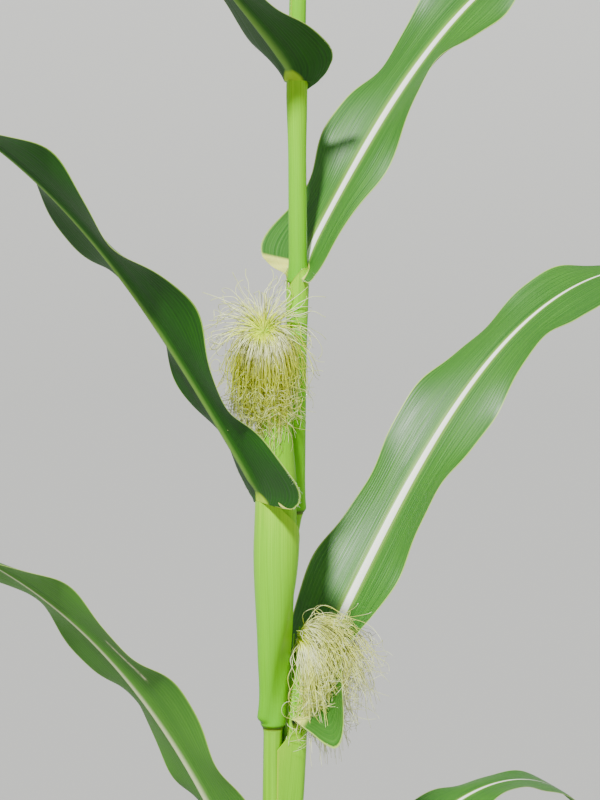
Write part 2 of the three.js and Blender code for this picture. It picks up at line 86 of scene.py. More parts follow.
def unit(vectors: Array) -> Array:
    """Vectors of the same directions and length 1."""
    return vectors / np.maximum(np.linalg.norm(vectors, axis=-1, keepdims=True), 1e-12)


def distance(points: Array) -> Array:
    """How far along a polyline each of its points is."""
    return np.concatenate([[0.0], np.cumsum(np.linalg.norm(np.diff(points, axis=0), axis=1))])


def along_line(share: Array, shares: Array, points: Array) -> Array:
    """Points at shares of a polyline whose own points stand at the given shares."""
    return np.stack([np.interp(share, shares, points[:, axis]) for axis in range(3)], axis=-1)


# The plant's rule, in millimetres and degrees


@dataclass(frozen=True)
class StalkForm:
    """Joints, lean and taper of the stalk.

    Attributes:
        first_joint: height of the joint that bears the brace roots.
        zigzag: how far the joints swing from side to side.
        ear_lean: how far the stalk steps aside above the joint of the upper ear.
        bend_height: where most of that step starts.
        bend_lean: how far the stalk has leaned by then.
        lean_step: how much farther it leans at each joint above.
        last_lean: how much farther it leans at the tassel's foot.
    """

    first_joint: float = 40.0
    internodes: tuple[float, ...] = (50, 75, 100, 125, 155, 190, 215, 222, 229, 186, 190, 168, 147)
    tassel_foot: float = 2300.0
    ground_radius: float = 13.5
    tassel_radius: float = 3.6
    swelling: float = 0.9
    zigzag: float = 3.0
    lean_joint: int = 7
    ear_lean: float = 24.0
    bend_height: float = 1112.0
    bend_lean: float = 11.0
    lean_step: float = 0.9
    last_lean: float = 2.0

    @cached_property
    def joints(self) -> Array:
        """Heights of the joints, from the ground up."""
        return self.first_joint + np.concatenate([[0.0], np.cumsum(self.internodes)])

    @cached_property
    def knots(self) -> Array:
        """Points of the stalk's middle line: the ground, each joint, its bend and the tassel's foot."""
        number = np.arange(len(self.joints))
        swing = np.where(number % 2, 0.5, -0.5) * self.zigzag * smoothstep(self.joints, 0, self.joints[2])
        step = self.ear_lean + (number - self.lean_joint) * self.lean_step
        middle = swing[:, None] * heading(RIGHT_TURN)
        middle[:, 0] += np.where(number > self.lean_joint, step, 0)
        middle[:, 2] = self.joints
        top = [middle[-1, 0] + self.last_lean, 0, self.tassel_foot]
        bend = [self.bend_lean, 0, self.bend_height]
        lower, upper = middle[: self.lean_joint + 1], middle[self.lean_joint + 1 :]
        return np.vstack([np.zeros(3), lower, bend, upper, top])

    def centre(self, height: Numbers) -> Array:
        """Middle of the stalk at heights."""
        height = np.asarray(height, float)
        across = [np.interp(height, self.knots[:, 2], self.knots[:, axis]) for axis in (0, 1)]
        return np.stack([*across, height], axis=-1)

    def radius(self, height: Numbers) -> Numbers:
        """Radius of the bare stalk at heights, between its joints."""
        return lerp(self.ground_radius, self.tassel_radius, height / self.tassel_foot)


STALK = StalkForm()


@dataclass(frozen=True)
class EarForm:
    """Axis and girth of an ear in its husks.

    Attributes:
        joint: the leaf joint whose sheath holds the ear.
        turn: the way the ear stands from the stalk.
        middle: the point that bends the axis.
        tip: the end of the husks.
        shank: radius of the ear's stalk.
        shank_rise: height of the shank's foot over its joint.
        tuck: how far the foot of the shank is drawn in towards the stalk.
        gap: gap between the stalk and the shank without that.
    """

    joint: int
    turn: float
    middle: tuple[float, float, float]
    tip: tuple[float, float, float]
    radius: float
    tip_radius: float
    shank: float
    shank_rise: float = 12.0
    tuck: float = 5.0
    gap: float = 1.2

    @cached_property
    def foot(self) -> Array:
        """Where the ear's axis starts, beside the stalk."""
        height = STALK.joints[self.joint] + self.shank_rise
        return STALK.centre(height) + heading(self.turn) * (STALK.radius(height) + self.shank + self.gap)

    def axis(self, share: Numbers) -> Array:
        """Points of the axis."""
        share = np.asarray(share, float)[..., None]
        ends = (1 - share) ** 2 * self.foot + share**2 * np.array(self.tip)
        drawn_in = heading(self.turn) * self.tuck * (1 - smoothstep(share, 0, 0.16))
        return ends + 2 * share * (1 - share) * np.array(self.middle) - drawn_in

    def frame(self, share: Numbers) -> tuple[Array, Array, Array]:
        """Direction of the axis and two unit vectors square to it."""
        way = unit(self.axis(np.asarray(share) + 0.01) - self.axis(np.asarray(share) - 0.01))
        side = unit(np.array([1.0, 0, 0]) - way * way[..., :1])
        return way, side, np.cross(way, side)

    def girth(self, share: Numbers) -> Numbers:
        """Radius along the axis: a thin shank, a full middle and a narrow tip."""
        body = lerp(self.shank, self.radius, smoothstep(share, 0.05, 0.45))
        return lerp(body, self.tip_radius, smoothstep(share, 0.55, 1.04) ** 1.3)

    def at_height(self, height: Numbers) -> tuple[Array, Numbers]:
        """Middle and radius of the ear where it passes heights."""
        height = np.asarray(height, float)
        shares = np.linspace(0, 1, 200)
        share = np.interp(height, self.axis(shares)[:, 2], shares)
        middle = self.axis(share)
        middle[..., 2] = height
        return middle, self.girth(share)


LOWER_EAR = EarForm(6, RIGHT_TURN, (24, 16, 900), (26, 20, 1047), 11, 4.5, 4.5)
UPPER_EAR = EarForm(7, LEFT_TURN, (21, -42, 1180), (-7, -24, 1354), 19.5, 6, 5)


@dataclass(frozen=True)
class Lobe:
    """How one margin of a blade turns outwards and droops beyond the collar.

    Attributes:
        push: how far out it turns, in millimetres.
        turn: the way it turns, from the blade's own, in degrees.
        droop: how far it hangs down, in millimetres.
        reach: how far along the blade it goes, in millimetres.
        full: how far along the blade it is fullest, in millimetres.
    """

    push: float = 7.0
    turn: float = 90.0
    droop: float = 5.0
    reach: float = 95.0
    full: float = 14.0


@dataclass(frozen=True)
class LeafForm:
    """Sheath and blade of one leaf.

    Attributes:
        number: place from the ground up, from 1.
        joint: the stalk joint that bears the leaf.
        turn: the way the leaf points.
        rise: angle of the midrib above level at its foot.
        tip: angle of the midrib above level at its tip.
        bend: how late the blade bends.
        roll: twist of the blade to one side, in degrees.
        crests: how far along the first wave of the right and of the left margin stands highest.
        lobes: the lobes that the right and the left margin form beside the collar.
        hold: how far round, each way, the blade is joined to the sheath's edge, in degrees.
        slope: how far the sheath's upper edge falls from the blade's side to its margins.
        fall_start: share of the way round where it starts to fall.
        fall_power: how late it falls, beyond there.
        wave_length: gap between the crests of a margin's waves.
        wave_height: height of these waves, as a share of the blade's width.
        wave_start: share of the blade where they are full.
        base: width of the blade near its foot, as a share of its full width.
        bulge: how far the sheath stands off in its middle.
        spots: how far the blade is marked by feeding insects, 0 to 1.
        first_angle: angle of the midrib above level at the collar.
        collar_bend: how soon the midrib bends from there to its rise, in millimetres.
        opening_length: how soon the blade opens from its wrap round the stalk, in millimetres.
        widest_wrap: the most that each half wraps round there, in radians.
        lobe_cut: how much narrower the blade is at the collar, as a share.
        lobe_length: how soon it is past that, in millimetres.
        lap: how far the outer margin stands off where it laps over the inner one.
        bare_joint: joint of the sheath that leaves the stalk bare on one side.
        bare_half_turn: how far that sheath then reaches round, each way, in degrees.
        bare_heights: heights between which it opens to that.
    """

    number: int
    joint: int
    turn: float
    rise: float
    tip: float
    bend: float
    length: float
    width: float
    roll: float
    crests: tuple[float, float]
    lobes: tuple[Lobe, Lobe] = (Lobe(), Lobe())
    hold: float = 180.0
    slope: float = 19.0
    fall_start: float = 0.5
    fall_power: float = 1.2
    wave_length: float = 200.0
    wave_height: float = 0.1
    wave_start: float = 0.16
    base: float = 0.96
    bulge: float = 0.0
    spots: float = 0.0
    spine_steps: int = 400
    first_angle: float = 87.0
    collar_bend: float = 12.0
    opening_length: float = 19.0
    widest_wrap: float = 2.2
    lobe_cut: float = 0.28
    lobe_length: float = 9.0
    ripple: float = 0.012
    ripple_length: float = 71.0
    crinkle: float = 0.8
    clearance: float = 0.35
    slack: float = 0.6
    wall: float = 1.2
    lap: float = 0.8
    lap_angle: float = 14.0
    top_collar: float = 86.0
    collar_rise: float = 16.0
    bare_joint: int = 6
    bare_half_turn: float = 99.0
    bare_heights: tuple[float, float] = (735.0, 815.0)

    @property
    def ear(self) -> EarForm | None:
        """The ear that this leaf's sheath holds."""
        return {LOWER_EAR.joint: LOWER_EAR, UPPER_EAR.joint: UPPER_EAR}.get(self.joint)

    @property
    def flare(self) -> float:
        """How far the sheath widens towards its collar."""
        return 0.5 if self.ear else 1.9

    @property
    def collar_height(self) -> float:
        """Height of the collar on the blade's side."""
        if self.joint + 1 < len(STALK.joints):
            return STALK.joints[self.joint + 1] + self.collar_rise
        return STALK.joints[-1] + self.top_collar + self.collar_rise

    def held(self, height: Numbers) -> tuple[Array, Numbers]:
        """Middle and radius of what the sheath is drawn round on the blade's side."""
        return self.ear.at_height(height) if self.ear else (STALK.centre(height), STALK.radius(height))

    @cached_property
    def foot(self) -> tuple[Array, float]:
        """The midrib's first point, and the radius of the collar there."""
        middle, radius = self.held(self.collar_height + self.clearance)
        radius = radius + self.slack + self.flare + self.wall / 2
        return middle + heading(self.turn) * radius, float(radius)

    @cached_property
    def spine(self) -> tuple[Array, Array, Array]:
        """Even shares of the midrib, its points there and its angles above level in radians."""
        share = np.linspace(0, 1, self.spine_steps + 1)
        bent = self.rise - (self.rise - self.tip) * share**self.bend
        start = (self.first_angle - self.rise) * np.exp(-share * self.length / self.collar_bend)
        angle = np.radians(bent + start)[:, None]
        ways = np.cos(angle) * heading(self.turn) + np.sin(angle) * UP
        steps = ways[:-1] * self.length / self.spine_steps
        return share, self.foot[0] + np.vstack([np.zeros(3), np.cumsum(steps, axis=0)]), angle[:, 0]

    def half_width(self, along: Numbers) -> Numbers:
        """Half width of the blade: narrow at the collar, nearly full beyond it, then a long taper."""
        lobes = self.lobe_cut * np.exp(-along * self.length / self.lobe_length)
        grown = lerp(self.base, 1.0, smoothstep(along, 0.0, 0.3)) - lobes
        return (self.width / 2) * grown * (1 - along**2.8) + 0.8

    def ruffle(self, along: Array, across: Array) -> Array:
        """Height of the waves of the blade's margins, which are longer than its midrib."""
        place = along * self.length
        crest = np.where(across > 0, self.crests[0], self.crests[1])
        swell = smoothstep(along, 0.2 * self.wave_start, self.wave_start)
        swell = swell * (1 - smoothstep(along, 0.6, 0.95))
        wave = self.wave_height * across**2 * np.cos(2 * math.pi * (place - crest) / self.wave_length)
        phase = 2 * math.pi * place / self.ripple_length + self.number + 1.9 * np.sign(across)
        return self.width * swell * (wave + self.ripple * across**4 * np.sin(phase))

    def blade_point(self, across: Array, along: Array) -> Array:
        """Points of the blade's upper face, which wraps the stalk and then opens to a shallow gutter."""
        shares, points, angles = self.spine
        middle = along_line(along, shares, points)
        angle = np.interp(along, shares, angles)[:, None]
        above = UP * np.cos(angle) - heading(self.turn) * np.sin(angle)
        side = heading(self.turn + 90) * np.ones_like(angle)
        roll = np.radians(self.roll * smoothstep(along, 0.01, 0.3))[:, None]
        side, above = side * np.cos(roll) + above * np.sin(roll), above * np.cos(roll) - side * np.sin(roll)
        opening = np.exp(-along * self.length / self.opening_length)
        closed = min(self.half_width(0.0) / self.foot[1], self.widest_wrap)
        wrap = closed * opening + lerp(0.3, -0.25, smoothstep(along, 0.1, 0.7)) * (1 - opening)
        wrap = np.where(np.abs(wrap) < 1e-3, 1e-3, wrap)
        fold = np.radians(lerp(9, 4, smoothstep(along, 0.1, 0.8))) * (1 - opening)
        half, out = self.half_width(along), np.abs(across)
        run = half * (np.sin(fold + wrap * out) - np.sin(fold)) / wrap * np.sign(across)
        lift = half * (np.cos(fold) - np.cos(fold + wrap * out)) / wrap + self.ruffle(along, across)
        return middle + side * run[:, None] + above * lift[:, None] + self.lobe(along, across)

    def lobe(self, along: Array, across: Array) -> Array:
        """How far the margins turn outwards and droop just beyond the collar."""
        place = along * self.length
        total = np.zeros((len(across), 3))
        for sign, lobe in zip((1, -1), self.lobes):
            share = np.maximum(across * sign, 0) ** 1.6 * smoothstep(place, lobe.full - 28, lobe.full)
            share *= 1 - smoothstep(place, lobe.full, lobe.reach)
            total += share[:, None] * (heading(self.turn + sign * lobe.turn) * lobe.push - UP * lobe.droop)
        crinkle = self.crinkle * np.sin(place / 1.1 + across) * across**6 * np.exp(-place / 12)
        return total + UP * crinkle[:, None]

    def half_turn(self, height: Array) -> Array:
        """How far the sheath reaches round, each way from its blade, in degrees."""
        full = 180.0 + self.lap_angle
        if self.joint != self.bare_joint:
            return np.full_like(height, full)
        return lerp(full, self.bare_half_turn, smoothstep(height, *self.bare_heights))

    def outline(self, offset: Array, height: Array, share: float) -> Array:
        """Points of the sheath's outer face, each at its own height.

        Args:
            offset: how far round from the blade's side each point looks, in degrees.
            height: each point's height.
            share: 0 at the sheath's foot and 1 at its collar.

        Returns:
            Points of an outline drawn tight round the stalk and any ear beside it.
        """
        rise = height - STALK.joints[self.joint]
        slack = self.slack + self.flare * smoothstep(share, 0.6, 1.0) + self.bulge * math.sin(math.pi * share)
        slack += STALK.swelling * (1 - smoothstep(share, 0, 0.15))
        slack += 0.5 * np.exp(-(((rise - 5.0) / 4.0) ** 2)) - 1.4 * (1 - smoothstep(rise, 0, 3.0))
        slack += self.lap * smoothstep(offset, 60, 180) * smoothstep(rise, 12, 60)
        out = heading(self.turn + offset)
        middle, radius = STALK.centre(height), STALK.radius(height) + slack
        if self.ear:
            held, girth = self.ear.at_height(height)
            held = lerp(middle, held, smoothstep(rise, 0, self.ear.shank_rise)[:, None])
            past = np.sum((held - middle) * out, axis=-1) + girth + slack > radius
            middle = np.where(past[:, None], held, middle)
            radius = np.where(past, girth + slack, radius)
        return middle + out * (radius + self.wall)[:, None]

    def level_ring(self, height: float, reach: float, share: float, side: Array) -> Array:
        """Outline of the sheath at one height, at places on its two sides.

        Args:
            height: the height of all its points.
            reach: how far it reaches round, each way, in degrees.
            share: 0 at the sheath's foot and 1 at its collar.
            side: shares of the way from the blade's side to the inner margin, -1, and to the outer one, 1.

        Returns:
            A point for each of these places.
        """
        offset = np.linspace(-reach, reach, 481)
        ring = self.outline(offset, np.full_like(offset, height), share)
        gone = distance(ring)
        middle = np.interp(0, offset, gone)
        return along_line(middle + side * np.where(side < 0, middle, gone[-1] - middle), gone, ring)

    def sheath_ring(self, share: float, points: int = 241) -> Array:
        """Outline of the sheath at a share of its height, with points evenly spaced on each side.

        Args:
            share: 0 at the sheath's foot and 1 at its collar.
            points: how many points it has.

        Returns:
            Points from the inner margin round the blade's side to the outer margin.
        """
        foot, top = STALK.joints[self.joint], self.collar_height
        reach = float(self.half_turn(np.array([lerp(foot, top - self.slope / 2, share)]))[0])
        side = np.linspace(-1, 1, points)
        late = np.maximum(np.abs(side) - self.fall_start, 0) / (1 - self.fall_start)
        height = lerp(foot, top - self.slope * lerp(late**self.fall_power, side**2, 0.1), share)
        levels = np.linspace(height.min(), height.max() + 0.001, 6)
        rings = np.stack([self.level_ring(level, reach, share, side) for level in levels])
        place = (height - levels[0]) / (levels[1] - levels[0])
        lower = np.minimum(place.astype(int), len(levels) - 2)
        column = np.arange(points)
        ring = lerp(rings[lower, column], rings[lower + 1, column], (place - lower)[:, None])
        ring[:, 2] = height
        return ring

    def sheath_edge(self, across: Array, share: float, inset: float = 0.0) -> Array:
        """Points of one outline of the sheath at places across it, -1 to 1, or set in from it."""
        ring = self.sheath_ring(share)
        inwards = unit(np.cross(UP, np.gradient(ring, axis=0)))
        return along_line((across + 1) / 2, np.linspace(0, 1, len(ring)), ring + inwards * inset)


LEAVES = (
    LeafForm(1, 2, RIGHT_TURN - 14, 42, -66, 1.3, 430, 48, 8, (90, 40)),
    LeafForm(2, 3, LEFT_TURN + 10, 50, -60, 1.5, 560, 60, -8, (20, 90)),
    LeafForm(3, 4, RIGHT_TURN + 12, 57, -56, 1.6, 700, 74, 14, (150, 60)),
    LeafForm(4, 5, LEFT_TURN + 2, 64, -12, 1.77, 820, 84, 12, (112, 95), wave_length=170, spots=1.0),
    LeafForm(
        5, 6, RIGHT_TURN, 58, -66, 2.9, 860, 101, 21.5, (136, 36),
        lobes=(Lobe(), Lobe(54.5, 102, 52, 61, 21.7)),
        hold=62,
        slope=38,
        fall_start=0.3,
        fall_power=0.8,
        wave_length=212,
        wave_height=0.111,
        wave_start=0.15,
        base=1.08,
    ),
    LeafForm(
        6, 7, LEFT_TURN, 56, -60, 2.5, 880, 96, -3, (34, 29),
        lobes=(Lobe(62, 77, -3, 91, 0), Lobe()),
        hold=25,
        slope=60,
        fall_start=0.22,
        fall_power=0.8,
        wave_length=195,
        wave_height=0.138,
        wave_start=0.13,
        base=0.6,
        bulge=2.6,
    ),
    LeafForm(
        7, 8, RIGHT_TURN, 57, -58, 2.09, 850, 101, 12.5, (147, 27),
        lobes=(Lobe(48, 87, -4, 135, -8), Lobe(8, 150, 35, 200, 18)),
        hold=176,
        slope=23,
        wave_length=207,
        wave_height=0.138,
        wave_start=0.15,
        base=0.62,
    ),
    LeafForm(8, 9, LEFT_TURN + 17, 37, -60, 2.2, 790, 92, -44, (204, 0), lobes=(Lobe(10), Lobe())),
    LeafForm(9, 10, RIGHT_TURN - 6, 61, -52, 2.1, 720, 86, 10, (0, 110)),
    LeafForm(10, 11, LEFT_TURN + 8, 64, -38, 2.1, 620, 78, -8, (80, 30)),
    LeafForm(11, 12, RIGHT_TURN + 8, 68, -14, 2, 500, 66, 6, (30, 100)),
    LeafForm(12, 13, LEFT_TURN - 6, 71, 18, 2, 370, 52, 0, (110, 70)),
)


# Modelling


def deselect() -> None:
    """Leaves nothing selected, so that the next operator acts on its own new piece."""
    bpy.ops.object.select_all(action="DESELECT")


def select_only(piece: Piece) -> None:
    """Leaves one piece selected and active, so that the next operator acts on it."""
    deselect()
    piece.select_set(True)
    bpy.context.view_layer.objects.active = piece


def write_attribute(mesh: bpy.types.Mesh, name: str, values: Array) -> None:
    """Keeps one number for each vertex under a name that materials read."""
    attribute = mesh.attributes.new(name, "FLOAT", "POINT")
    attribute.data.foreach_set("value", np.asarray(values, np.float32))


def write_uv(mesh: bpy.types.Mesh, places: Array) -> None:
    """Keeps a place in metres for each vertex as the mesh's only UV map."""
    while mesh.uv_layers:
        mesh.uv_layers.remove(mesh.uv_layers[0])
    corners = np.empty(len(mesh.loops), np.int32)
    mesh.loops.foreach_get("vertex_index", corners)
    layer = mesh.uv_layers.new(name=LEAF_UV)
    layer.data.foreach_set("uv", np.asarray(places[corners], np.float32).ravel())


def add_sheet(name: str, columns: int, rows: int) -> tuple[Piece, Array, Array]:
    """Adds a flat grid that a surface rule then shapes.

    Args:
        name: the piece's name.
        columns: how many faces it has across.
        rows: how many faces it has along.

    Returns:
        The grid's object, and each vertex's place across, -1 to 1, and along, 0 to 1.
    """
    deselect()
    bpy.ops.mesh.primitive_grid_add(x_subdivisions=columns, y_subdivisions=rows, size=2)
    sheet = bpy.context.object
    sheet.name = sheet.data.name = name
    flat = np.empty(len(sheet.data.vertices) * 3, np.float32)
    sheet.data.vertices.foreach_get("co", flat)
    flat = flat.reshape(-1, 3).astype(float)
    return sheet, flat[:, 0], (flat[:, 1] + 1) / 2


def place_vertices(piece: Piece, points: Array) -> None:
    """Moves a piece's vertices to points in millimetres."""
    piece.data.vertices.foreach_set("co", (points * MM).astype(np.float32).ravel())
    piece.data.update()


def finish_with(piece: Piece, kind: str, **settings: object) -> None:
    """Adds a modifier to a piece, sets it and applies it."""
    select_only(piece)
    modifier = piece.modifiers.new(kind.capitalize(), kind)
    for name, value in settings.items():
        setattr(modifier, name, value)
    bpy.ops.object.modifier_apply(modifier=modifier.name)


def shade(piece: Piece, sharpest: float = 50.0) -> None:
    """Shades a piece smooth, apart from edges sharper than an angle in degrees."""
    select_only(piece)
    bpy.ops.object.shade_smooth_by_angle(angle=math.radians(sharpest))


def join(pieces: list[Piece], name: str) -> Piece:
    """Joins pieces into one with a new name."""
    select_only(pieces[0])
    for piece in pieces:
        piece.select_set(True)
    bpy.ops.object.join()
    pieces[0].name = pieces[0].data.name = name
    return pieces[0]


def mesh_from(name: str, points: Array, faces: list[list[int]]) -> Piece:
    """A piece from points in millimetres and the faces between them, for many small things at once."""
    mesh = bpy.data.meshes.new(name)
    mesh.from_pydata((points * MM).tolist(), [], faces)
    mesh.update()
    piece = bpy.data.objects.new(name, mesh)
    bpy.context.scene.collection.objects.link(piece)
    return piece


def add_threads(
    name: str,
    paths: Array,
    radii: Array,
    tint: Numbers = 0.0,
    run: Numbers = 1.0,
) -> Piece:
    """Three-sided threads along paths, closed at both ends, as one piece.

    Args:
        name: the piece's name.
        paths: a point for each thread and step, in millimetres.
        radii: a radius for each thread and step.
        tint: how far each thread leans to its material's other colour.
        run: how much of its material's colours each thread runs through.

    Returns:
        The piece, with each vertex's place in those colours kept as "along" and its tint as "tint".
    """
    count, steps, _ = paths.shape
    ways = unit(np.gradient(paths, axis=1))
    hint = unit(np.cross(ways[:, :1], np.where(np.abs(ways[:, :1, 2:]) > 0.9, [1.0, 0, 0], UP)))
    side = unit(hint - ways * np.sum(hint * ways, axis=-1, keepdims=True))
    other = np.cross(ways, side)
    turns = np.arange(3) * 2 * math.pi / 3
    ring = side[:, :, None] * np.cos(turns)[:, None] + other[:, :, None] * np.sin(turns)[:, None]
    points = paths[:, :, None] + ring * radii[:, :, None, None]
    start = (np.arange(count) * steps * 3)[:, None, None]
    row = start + (np.arange(steps - 1) * 3)[None, :, None]
    near = np.arange(3)[None, None]
    after = (near + 1) % 3
    corners = [row + near, row + after, row + 3 + after, row + 3 + near]
    walls = np.stack(np.broadcast_arrays(*corners), axis=-1).reshape(-1, 4)
    first = start.reshape(-1, 1) + np.array([2, 1, 0])
    last = start.reshape(-1, 1) + (steps - 1) * 3 + np.array([0, 1, 2])
    piece = mesh_from(name, points.reshape(-1, 3), walls.tolist() + first.tolist() + last.tolist())
    shade(piece, 180)
    share = np.linspace(0, 1, steps)[None, :, None] * np.reshape(run, (-1, 1, 1))
    write_attribute(piece.data, "along", np.broadcast_to(share, (count, steps, 3)).ravel())
    tint = np.reshape(tint, (-1, 1, 1))
    write_attribute(piece.data, "tint", np.broadcast_to(tint, (count, steps, 3)).ravel())
    return piece


def hand_in(piece: Piece, nodes: list[str]) -> None:
    """Seats a finished piece on the plant, in place of CAD nodes."""
    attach(piece, "root")
    if nodes:
        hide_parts(*nodes)
    LOG.info("%s: %d faces", piece.name, len(piece.data.polygons))


# Finishes


MIX_A, MIX_B, MIXED = 6, 7, 2
SMOOTH = "SMOOTHSTEP"
Inputs = dict[int | str, object] | tuple[object, ...]


def linear(colour: str) -> tuple[float, float, float, float]:
    """Linear colour of an sRGB hex value such as "#3f7a34"."""
    parts = [int(colour[i : i + 2], 16) / 255 for i in (1, 3, 5)]
    return (*[p / 12.92 if p <= 0.04045 else ((p + 0.055) / 1.055) ** 2.4 for p in parts], 1.0)


def pattern_scale(*sizes: float) -> tuple[float, ...]:
    """Scales that draw a pattern's details at two or three sizes in millimetres."""
    return tuple(1 / (size * MM) for size in (*sizes, 1000.0)[:3])


def feed(tree: Tree, node: bpy.types.Node, inputs: Inputs) -> None:
    """Links or sets a node's inputs.

    Args:
        tree: the material's node tree.
        node: the node to feed.
        inputs: sockets, values or hex colours, in the inputs' order or under their names or numbers.
    """
    for name, value in inputs.items() if isinstance(inputs, dict) else enumerate(inputs):
        if isinstance(value, Socket):
            tree.links.new(value, node.inputs[name])
        else:
            node.inputs[name].default_value = linear(value) if isinstance(value, str) else value


def add_node(tree: Tree, kind: str, inputs: Inputs = (), **settings: object) -> bpy.types.NodeOutputs:
    """Adds a shader node with its settings and links.

    Args:
        tree: the material's node tree.
        kind: the node's type, without "ShaderNode" before it.
        inputs: what feeds it, as in feed.
        settings: the node's own options; "stops" are a colour ramp's places and hex colours.

    Returns:
        The new node's outputs.
    """
    made = tree.nodes.new("ShaderNode" + kind)
    for number, (place, colour) in enumerate(settings.pop("stops", ())):
        stops = made.color_ramp.elements
        stop = stops[number] if number < len(stops) else stops.new(1.0)
        stop.position = place
        stop.color = linear(colour)
    for name, value in settings.items():
        setattr(made, name, value)
    feed(tree, made, inputs)
    return made.outputs


def new_material(name: str) -> tuple[Material, Tree, bpy.types.Node]:
    """A new material, its node tree and its Principled shader."""
    material = bpy.data.materials.new(name)
    material.use_nodes = True
    tree = material.node_tree
    return material, tree, tree.nodes["Principled BSDF"]


